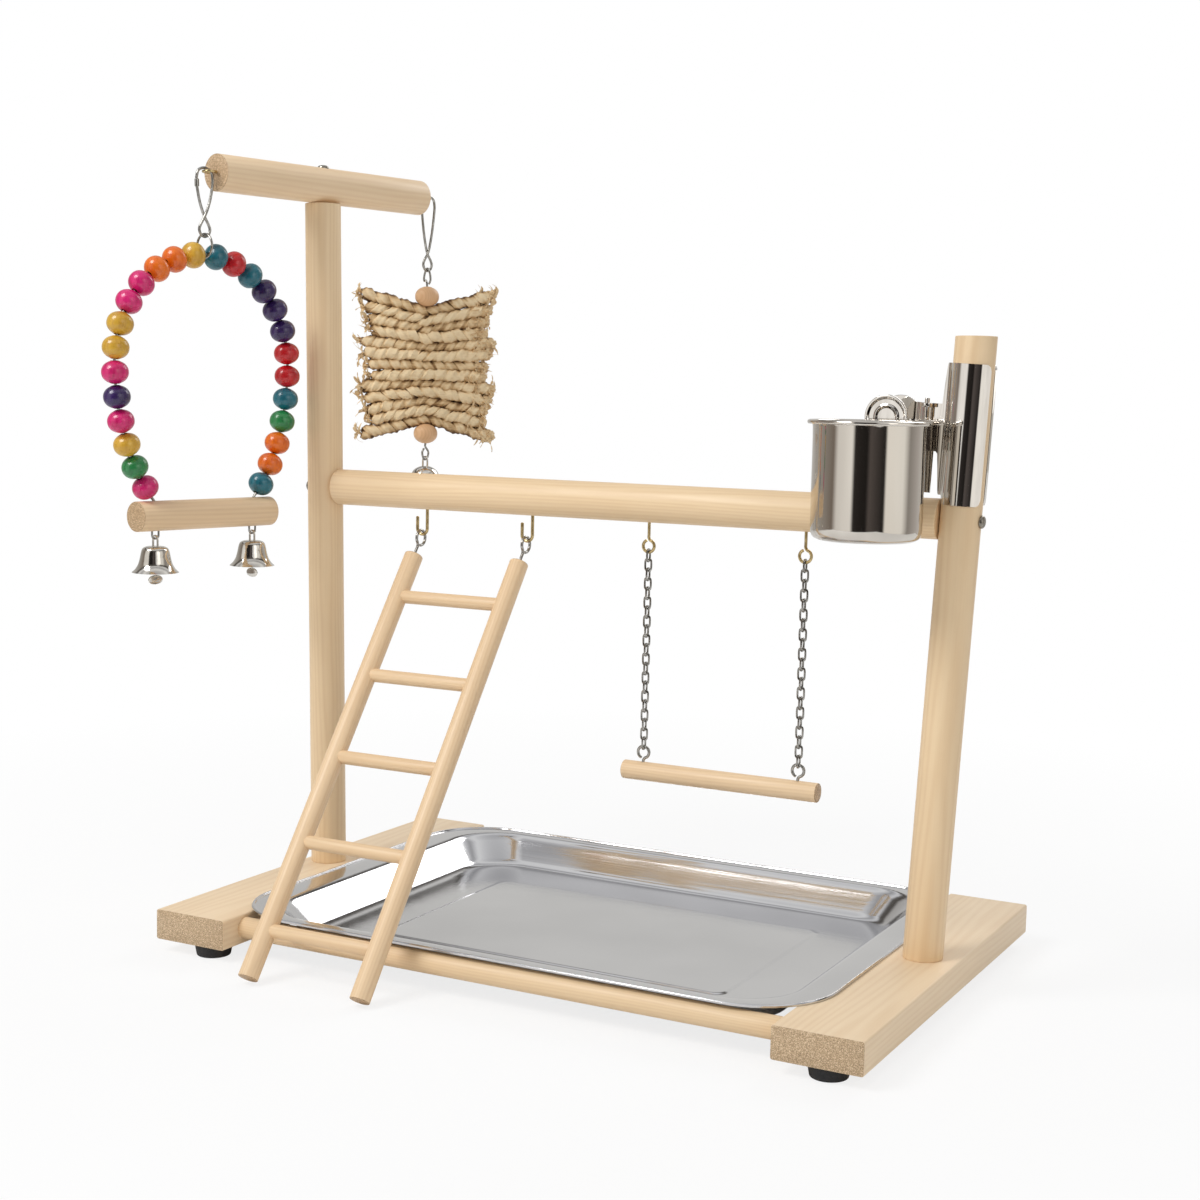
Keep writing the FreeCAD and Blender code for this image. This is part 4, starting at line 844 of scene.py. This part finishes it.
def knot_grid(centre, size, phase):
    """A husk knot: a ball whose radius rises and falls in winding ridges."""
    lat = np.linspace(-np.pi / 2 + 0.12, np.pi / 2 - 0.12, 20)[:, None]
    lon = np.linspace(0, 2 * np.pi, 34, endpoint=False)[None]
    ridges = 0.14 * np.sin(4 * lon + 6 * lat + phase) + 0.08 * np.sin(9 * lon - 5 * lat + 2 * phase)
    out = (np.cos(lat) * np.cos(lon))[..., None] * husk_side * 1.1 \
        + (np.cos(lat) * np.sin(lon))[..., None] * husk_across * 0.95 \
        + (np.sin(lat) + 0 * lon)[..., None] * up * 0.9
    return centre + (size * (1 + ridges))[..., None] * out


def fray_grid(start, way, length, width, curl, phase):
    """A torn husk tip: a thin ribbon that narrows to its end and curls as it goes."""
    s = np.linspace(0, 1, 16)
    bend = curl * s ** 1.5
    path = start + length * ((s * np.cos(bend))[:, None] * way + (s * np.sin(bend))[:, None] * up
                             + (0.12 * np.sin(7 * s + phase))[:, None] * husk_across)
    run = unit(np.gradient(path, axis=0))
    flat = unit(np.cross(run, np.array([0.2 * math.sin(phase), 0.3, 1.0])))
    rise = np.cross(run, flat)
    turn = np.linspace(0, 2 * np.pi, 8, endpoint=False)[None, :, None]
    wide = width * (1 - 0.85 * s ** 1.4) * (1 + 0.2 * np.sin(11 * s + phase))
    ring = np.cos(turn) * flat[:, None] + 0.16 * np.sin(turn) * rise[:, None]
    return path[:, None] + wide[:, None, None] * ring


def drawn(low, high):
    """The next seeded number between two."""
    return float(seed.uniform(low, high))


plies, knots, frays = [], [], []
for k in range(row_count):
    rank = (k - 6) / 6
    middle = (core_top + core_end) / 2 + up * (rank * (row_room - row_pitch) / 2)
    reach = row_half * (1 - 0.045 * ((k * 3) % 4))
    bow = (-1.0) ** k
    phase = drawn(0, 6.28)
    pitch = drawn(15, 19) * (1 if k % 3 else -1)
    for half in (0, 1):
        plies.append(husk_ply(middle, rank, reach - 6, bow, phase + half * np.pi, pitch, 2.9, 0.5))
    for end, count in ((-1, 6), (1, 20)):
        tip = row_line(middle, rank, np.array([end * (reach - 7.0)]), bow, reach)[0]
        tip = tip + up * drawn(-0.8, 0.8)
        if end > 0:
            knots.append(knot_grid(tip, drawn(4.2, 5.2), phase))
        for j in range(count):
            back = -drawn(0, 14) if end > 0 else 0
            way = unit(husk_side * end + husk_across * drawn(-1.3, 0.8) + up * drawn(-0.8, 0.8))
            frays.append(fray_grid(tip + husk_side * back + way * 2.2, way, drawn(5.0, 10.5),
                                   drawn(1.3, 3.0), drawn(-1.9, 1.9), phase + j))


def husk_finish(name, paint_crease_shade):
    """Dry maize husk: pale, with fine lengthways veins. On the twisted rows, painted shade darkens
    what lies nearer the toy's middle plane, as the creases between plies and rows do."""
    finish = Finish(name, Roughness=0.7, Specular_IOR_Level=0.3)
    where = finish.place()
    veins = finish.noise(finish.stretch(where, (170, 170, 1000)), 1.0, 4.0, 0.75)
    tone = finish.noise(where, 130.0, 3.0)
    painted_crease_shade = 0.8
    # Painted shade: the nearer a point lies to the toy's middle plane, the darker it is, standing in for
    # shade in the creases between plies and rows.
    if paint_crease_shade:
        depth = finish.dot(where, tuple(husk_across))
        depth = (depth - float(core_top @ husk_across) * to_metres).join("ABSOLUTE")
        painted_crease_shade = ((depth - 0.0010) / 0.0038).within(0.0, 1.0)
    share = veins * 0.35 + tone * 0.25 + painted_crease_shade * 0.5
    finish.colour(finish.ramp(share, [(0.34, (0.12, 0.06, 0.025)), (0.5, (0.42, 0.26, 0.12)),
                                      (0.64, (0.72, 0.52, 0.29)), (0.8, (0.88, 0.71, 0.46))]))
    finish.roughness(veins * 0.25 + 0.5)
    finish.bump(veins * 0.7 + tone * 0.3, 0.9, 0.0008)
    return finish


# The rows' husk gets painted shade in its creases; the knots and frays get none.
row_set = skin("husk_row_set", plies, "husk_toy", ["husk_rows"], crease=60)
husk_finish("dry_husk", True).on(row_set)
husk_finish("torn_husk", False).on(skin("husk_knots", knots, "husk_toy", crease=60),
                                   skin("husk_frays", frays, "husk_toy", crease=60))

# ----------------------------------------
# Round bell: a pressed dome with a short straight skirt, which hangs on the husk toy's lower
# loop, with a flat clapper like the other bells'.

dome_outer = [(0.01, 0), (4.0, -0.3), (8.4, -2.6), (11.2, -7.2), (12.0, -13.0), (12.0, -20.4)]
dome_inner = [(11.3, -20.4), (11.2, -13.0), (10.3, -7.8), (7.4, -3.8), (3.6, -1.8), (0.01, -1.4)]
hang_bell(("husk_toy_bell", "round_bell", "toy_bell"),
          ("husk_toy_clapper", "round_clapper", "toy_clapper"),
          core_end - up * 11.5, dome_outer, dome_inner, 1.4, 0.6, 9.6, (aside, 16, 9, 7))

# ----------------------------------------
# Tray: one sheet of stainless steel, deep drawn. A flat flange with a rolled edge lies on the
# boards, the wall slopes in and the floor has a broad raised panel.


tray_middle, tray_half = (-2.0, 6.0), (206.0, 151.0)


def tray_rings(stations, per_corner=14):
    """Rounded rectangles: each station gives the inset at the ends and sides, the corner radius
    and the height, and its outline runs round four quarter circles joined by straight sides."""
    s = np.asarray(stations, float)
    quarter = np.linspace(0, np.pi / 2, per_corner)
    turn = (np.arange(4)[:, None] * np.pi / 2 + quarter[None]).ravel()
    sx = np.repeat([1, -1, -1, 1], per_corner)
    sy = np.repeat([1, 1, -1, -1], per_corner)
    half_x, half_y = tray_half[0] - s[:, :1], tray_half[1] - s[:, 1:2]
    corner = np.minimum(s[:, 2:3], np.minimum(half_x, half_y) * 0.98)
    x = tray_middle[0] + sx * (half_x - corner) + corner * np.cos(turn)
    y = tray_middle[1] + sy * (half_y - corner) + corner * np.sin(turn)
    z = np.broadcast_to(s[:, 3:4], x.shape)
    return stand + np.stack([x, y, z], -1)


floor_top = -19.7
sheet = 0.8
floor_under = floor_top - sheet
panel = np.array([(150, 120, 5, sheet), (84, 74, 7, sheet), (82, 71, 8, sheet), (79.5, 68.5, 9, 0),
                  (76, 65, 12, 0)])
top_wall = [(38.4, 27.4, 32.6, floor_top), (22.4, 11.4, 40.6, 0.9), (4, 4, 48, 0.9),
            (2.4, 2.4, 49.6, 0.95), (1.9, 1.9, 50.1, 1.9), (0.7, 0.7, 51.3, 1.95), (0.0, 0.0, 52, 1.2)]
under_wall = [(0.2, 0.2, 51.8, 0.05), (2.0, 2.0, 50, 0.05), (4, 4, 48, 0.05), (21.6, 10.6, 41.4, 0.05),
              (37.6, 26.6, 33.4, floor_under)]
top_face = np.concatenate([panel + [0, 0, 0, floor_top], top_wall])
under_face = np.concatenate([under_wall, panel[::-1] + [0, 0, 0, floor_under]])
tray_profile = np.concatenate([eased(top_face, 0.22, 5), eased(under_face, 0.22, 5)])
tray = tray_rings(tray_profile)[:, ::-1]
tray = skin("pressed_tray", [tray], "tray", ["tray"], crease=50)
steel = Finish("tray_stainless", Metallic=1.0)
where = steel.place()
rolled = steel.noise(steel.stretch(where, (4, 900, 60)), 1.0, 3.0, 0.7)
waves = steel.noise(where, 9.0, 2.0)
steel.colour(steel.ramp(waves, [(0.3, (0.62, 0.62, 0.63)), (0.7, (0.7, 0.7, 0.71))]))
steel.roughness(rolled * 0.08 + 0.06)
steel.bump(rolled * 0.15 + waves, 0.12, 0.002)
steel.on(tray)

# ----------------------------------------
# Feeder cup: a spun stainless cup with a rolled rim, hung on the near plate of its clamp by
# one spacer.

cup_x, cup_y = 193.5, -45.85
clamp_height = 84.5
bar_overlap, jaw_shift = 3.4, 2.3
clamp_middle = bar_height + bar_radius - bar_overlap + clamp_height / 2 + jaw_shift
cup_height = 70.0
cup_foot = clamp_middle + 4.5 - cup_height
cup_profile = [(0.01, 0.5), (24.0, 0.3), (27.0, 0.0), (31.5, 1.8), (33.0, 6.0), (33.0, 20), (33.0, 68.3),
               (34.2, 68.6), (35.9, 68.2), (36.5, 69.2), (36.3, 70.4), (35.0, 71.0), (33.4, 70.7),
               (32.3, 69.6), (32.1, 66.0), (32.1, 20), (32.1, 6.0), (30.4, 2.6), (27.0, 0.9),
               (0.01, 1.3)]
bowl = turned_grid(eased(cup_profile, 0.35, 4), at(cup_x, cup_y, cup_foot), columns=112)
spacer_rise = clamp_middle - 1.5
spacer = bar_grid(at(cup_x, cup_y + 32.3, spacer_rise), at(cup_x, -8.8, spacer_rise), 3.0)
cup = skin("spun_cup", [bowl, spacer], "feeder", ["feeder_cup"], crease=50)
spun = Finish("cup_stainless", Metallic=1.0, Anisotropic=0.25)
where = spun.stretch(spun.place(), (1, 1, 1), shift=tuple(-to_metres * at(cup_x, cup_y, cup_foot)))
lines = spun.noise(spun.stretch(where, (6, 6, 1400)), 1.0, 3.0, 0.7)
smear = spun.noise(spun.stretch(where, (45, 45, 6)), 1.0, 2.0)
spun.colour(spun.ramp(smear, [(0.3, (0.58, 0.54, 0.49)), (0.7, (0.72, 0.68, 0.62))]))
spun.roughness(lines * 0.06 + 0.04)
spun.bump(lines, 0.012, 0.0002)
spun.on(cup)

# ----------------------------------------
# Clamp: two pressed steel halves that turn on an upright pin, closed by a coil spring. Each
# has a half-round jaw, a bent web and a finger plate with a pad of pressed rings.

tilt = post_leans["right"]
jaw_up = np.array([math.sin(tilt), 0, math.cos(tilt)])
jaw_out = np.array([math.cos(tilt), 0, -math.sin(tilt)])
post_here = post_point("right", clamp_middle)


pin_reach = -27.0
strip = 1.2


def clamp_point(reach, across, rise):
    """Places by their distances from the middle of the post: outwards, back and up along it."""
    return post_here + np.multiply.outer(np.asarray(reach, float), jaw_out) \
        + np.multiply.outer(np.asarray(across, float), np.array([0, 1.0, 0])) \
        + np.multiply.outer(np.asarray(rise, float), jaw_up)


def clamp_sheet(sign, arm_low, arm_high):
    """A bent strip: its plan line is carried up and down between two heights that change along
    it, full at the jaw and narrow on the arm, with rounded corners at the jaw's lip. Near the
    crossbar its lower edge steps up."""
    bends = arc(14.1, 25, 150, 6) + [(-16.1, 6.6), (-27, 6.6), (-33, 9), (-36, 12.4), (-39.5, 12.6)]
    plan = curve([(*bend, 0) for bend in bends], 8)[:, :2]
    length = np.concatenate([[0], np.cumsum(np.hypot(*np.diff(plan, axis=0).T))])
    reach = plan[:, 0]
    full = np.clip((reach + 16.5) / 3.0, 0, 1)
    full = full * full * (3 - 2 * full)
    near_bar = np.clip((-10.4 - reach) / 0.8, 0, 1)
    corner = np.clip(length / 4.0, 0, 1)
    round_off = 4.0 * (1 - np.sqrt(1 - (1 - corner) ** 2))
    high = arm_high + (39.9 - arm_high) * full - round_off
    low = arm_low + (-44.5 + 5.3 * near_bar - arm_low) * full + round_off
    run = unit(np.gradient(plan, axis=0))
    inward = np.c_[-run[:, 1], run[:, 0]] * strip
    rows = np.linspace(0, 1, 9)
    lines = [clamp_point(line[:, 0], sign * line[:, 1], low + (high - low) * v)
             for line, shares in ((plan, rows), (plan + inward, rows[::-1])) for v in shares]
    grid = np.stack(lines, 1)
    return grid if sign < 0 else grid[:, ::-1]


def pad_grid(sign):
    """A round finger pad: a flat disc with a rolled rim and one pressed ring, whose height over
    the plate is a cosine hump of the radius."""
    r = np.linspace(0.01, 13.6, 60)
    hump = np.clip(1 - np.abs(r - 6.9) / 1.5, 0, 1)
    rim = np.clip((r - 10.8) / 1.4, 0, 1) * np.clip((13.65 - r) / 0.5, 0, 1) ** 0.5
    rise = strip + 0.55 * (1 - np.cos(np.pi * hump)) / 2 + 0.85 * (1 - np.cos(np.pi * rim)) / 2
    profile = np.concatenate([np.stack([r, rise], -1), [(13.6, 0.5), (13.2, 0.0), (0.01, 0.0)]])
    return turned_grid(profile, clamp_point(-47.5, sign * 12.6, 5.0), (0, sign, 0), 72)


def lug_grids(sign, lows):
    """Two eyes on each half that the pin goes through, with a short ear back to the arm."""
    out = []
    washer = eased([(1.8, 0), (3.6, 0), (3.6, 2.4), (1.8, 2.4), (1.8, 0)], 0.1, 3)
    for low in lows:
        out.append(turned_grid(washer, clamp_point(pin_reach, 0, low), jaw_up, 32))
        reach = pin_reach + np.array([-2.3, 2.3, 2.3, -2.3])
        rise = low + 1.2 + np.array([-1.2, -1.2, 1.2, 1.2])
        ear = np.stack([clamp_point(reach, across, rise) for across in (sign * 3.4, sign * 5.8)])
        out.append(ear if sign < 0 else ear[:, ::-1])
    return out


def stay_grid():
    """A narrow web under the near arm: a thin strip of sheet from the arm down beside the bar."""
    reach, across = np.array([(-18.4, -6.6), (-27.6, -6.6), (-27.6, -7.8), (-18.4, -7.8)]).T
    return np.stack([clamp_point(reach, across, rise) for rise in (-38.5, -13.4)])[:, ::-1]


pressed = Finish("clamp_steel", Metallic=1.0)
where = pressed.place()
rub = pressed.noise(pressed.stretch(where, (200, 200, 24)), 1.0, 3.0, 0.6)
pressed.colour(pressed.ramp(rub, [(0.3, (0.66, 0.63, 0.59)), (0.7, (0.84, 0.81, 0.77))]))
pressed.roughness(rub * 0.05 + 0.02)
pressed.bump(rub, 0.03, 0.0002)
near_half = [clamp_sheet(-1, -13.5, 5.0), pad_grid(-1), stay_grid()] + lug_grids(-1, (-13.5, 2.6))
far_half = [clamp_sheet(1, -10.6, 15.0), pad_grid(1)] + lug_grids(1, (-10.6, 12.6))
for side, grids, body in (("near", near_half, "feeder"), ("far", far_half, "far_jaw")):
    pressed.on(skin(side + "_clamp_plate", grids, body, ["clamp_" + side + "_half"],
                    crease=45))
pin = [bar_grid(clamp_point(pin_reach, 0, -16.5), clamp_point(pin_reach, 0, 18.0), 1.5, 0.4, 24)]
pressed.on(skin("clamp_hinge_pin", pin, "feeder", ["clamp_pin"]))
coil_radius, coil_pitch, coil_turns = 3.9, 2.0, 4
turn = np.linspace(0, coil_turns * 2 * np.pi, 160)
coil_rise = -2.8 + coil_pitch * (turn / (2 * np.pi) - coil_turns / 2)
coil = clamp_point(pin_reach + coil_radius * np.cos(turn), coil_radius * np.sin(turn), coil_rise)
coil = [wire_grid(coil, 1.3, jaw_up, columns=10)]
zinc.on(skin("clamp_coil", coil, "feeder", ["clamp_spring"]))

# ----------------------------------------
# Studio: a pale floor that glows where it is far from the stand and meets a white surround. A
# large soft key stands at the upper left, a weak fill at the right and a lamp behind.

floor_half = 1.3
floor_corners = [(x * floor_half, y * floor_half, -0.0005)
                 for x, y in ((-1, -1), (1, -1), (1, 1), (-1, 1))]
floor_mesh = bpy.data.meshes.new("studio_floor")
floor_mesh.from_pydata(floor_corners, [], [(0, 1, 2, 3)])
floor = bpy.data.objects.new("studio_floor", floor_mesh)
bpy.context.scene.collection.objects.link(floor)
paper = Finish("floor_paper", Roughness=0.85)
paper.colour((0.92, 0.92, 0.92))
seen = paper.node("ShaderNodeLightPath")
glow = paper.node("ShaderNodeEmission", None, {"Color": (1.0, 1.0, 1.0), "Strength": 1.0})
lit = Value(paper, paper.surface.outputs[0])
spread = paper.node("ShaderNodeVectorMath", {"operation": "LENGTH"}, {0: paper.place()}, output=1)
bright = ((spread - 0.4) * 0.35).within(0.0, 0.2) + 0.8
sheet_of_paper = paper.node("ShaderNodeMixShader", None, {0: seen * bright, 1: lit, 2: glow})
paper.feed(paper.own("OUTPUT_MATERIAL").inputs["Surface"], sheet_of_paper)
paper.on(floor)

# The world is white to the camera. Metal sees a studio: dark behind the photographer, a tall
# white panel on either side, pale grey walls beyond them and a banded ceiling.
world = bpy.data.worlds.new("studio_white")
bpy.context.scene.world = world
world.use_nodes = True
room = Nodes(world.node_tree)
background = room.own("BACKGROUND")
heading = room.node("ShaderNodeTexCoord", output=0)
rightwards = room.dot(heading, (0.885, 0.465, 0.0))
frontwards = room.dot(heading, (0.465, -0.885, 0.0))
upwards = room.dot(heading, (0.0, 0.0, 1.0))
bearing = rightwards.join("ARCTAN2", frontwards) / full_turn + 0.5
walls = room.ramp(bearing, [
    (0.0, (0.68, 0.67, 0.65)), (0.15, (0.42, 0.4, 0.37)), (0.27, (0.24, 0.2, 0.17)),
    (0.3, (0.9, 0.88, 0.85)), (0.385, (1.0, 0.98, 0.95)), (0.402, (0.03, 0.026, 0.024)),
    (0.47, (0.015, 0.013, 0.012)), (0.49, (0.1, 0.085, 0.08)), (0.572, (0.018, 0.016, 0.015)),
    (0.585, (0.98, 0.95, 0.9)), (0.69, (0.92, 0.9, 0.86)), (0.735, (0.3, 0.28, 0.26)),
    (0.8, (0.45, 0.42, 0.4)), (0.9, (0.68, 0.67, 0.65)), (1.0, (0.68, 0.67, 0.65))])
ceiling = room.ramp(upwards, [
    (0.56, (0.1, 0.09, 0.08)), (0.64, (0.12, 0.11, 0.1)), (0.7, (0.85, 0.85, 0.86)),
    (0.8, (0.4, 0.4, 0.41)), (0.88, (0.9, 0.9, 0.9)), (1.0, (0.55, 0.55, 0.56))])
overhead = ((upwards - 0.5) * 16.0).within(0.0, 1.0)
mirrored = room.blend(overhead, walls, ceiling)
to_camera = room.node("ShaderNodeLightPath", output=0)
to_metal = room.node("ShaderNodeLightPath", output=3)
to_glass = room.node("ShaderNodeLightPath", output=6)
room.feed(background.inputs["Color"], room.blend(to_metal, (1.0, 1.0, 1.0), mirrored))
plain = (1 - to_camera) * (1 - to_metal) * (1 - to_glass)
room.feed(background.inputs["Strength"], to_camera + to_glass + to_metal + plain * 0.48)


def lamp(name, place, aim, size, power):
    """A round area lamp at a place, turned towards another."""
    light = bpy.data.lights.new(name, "AREA")
    light.shape = "DISK"
    light.size = size
    light.energy = power
    holder = bpy.data.objects.new(name, light)
    bpy.context.scene.collection.objects.link(holder)
    way = Vector(aim) - Vector(place)
    holder.matrix_world = Matrix.Translation(place) @ way.to_track_quat("-Z", "Y").to_matrix().to_4x4()


lamp("key", (-0.95, -1.55, 2.0), (0, 0, 0.25), 1.1, 33)
lamp("fill", (1.9, -1.3, 1.2), (0, 0, 0.2), 1.6, 5)
lamp("back", (0.4, 1.9, 1.6), (0, 0, 0.25), 1.2, 12)

camera = bpy.data.cameras.new("photo_camera")
camera.sensor_width = 36.0
camera.lens = 57.1
yaw, pitch, roll = math.radians(27.69), math.radians(6.39), math.radians(1.28)
look = Vector((-math.sin(yaw) * math.cos(pitch), math.cos(yaw) * math.cos(pitch), -math.sin(pitch)))
level_right = Vector((math.cos(yaw), math.sin(yaw), 0))
level_up = level_right.cross(look)
right = level_right * math.cos(roll) + level_up * math.sin(roll)
top = level_up * math.cos(roll) - level_right * math.sin(roll)
eye_place = Vector((576.53 + stand[0], -1111.15 + stand[1], 348.06 + stand[2])) * to_metres
holder = bpy.data.objects.new("photo_camera", camera)
bpy.context.scene.collection.objects.link(holder)
turning = Matrix((right, top, -look)).transposed().to_4x4()
holder.matrix_world = Matrix.Translation(eye_place) @ turning
bpy.context.scene.camera = holder
bpy.context.scene.view_settings.view_transform = "Standard"
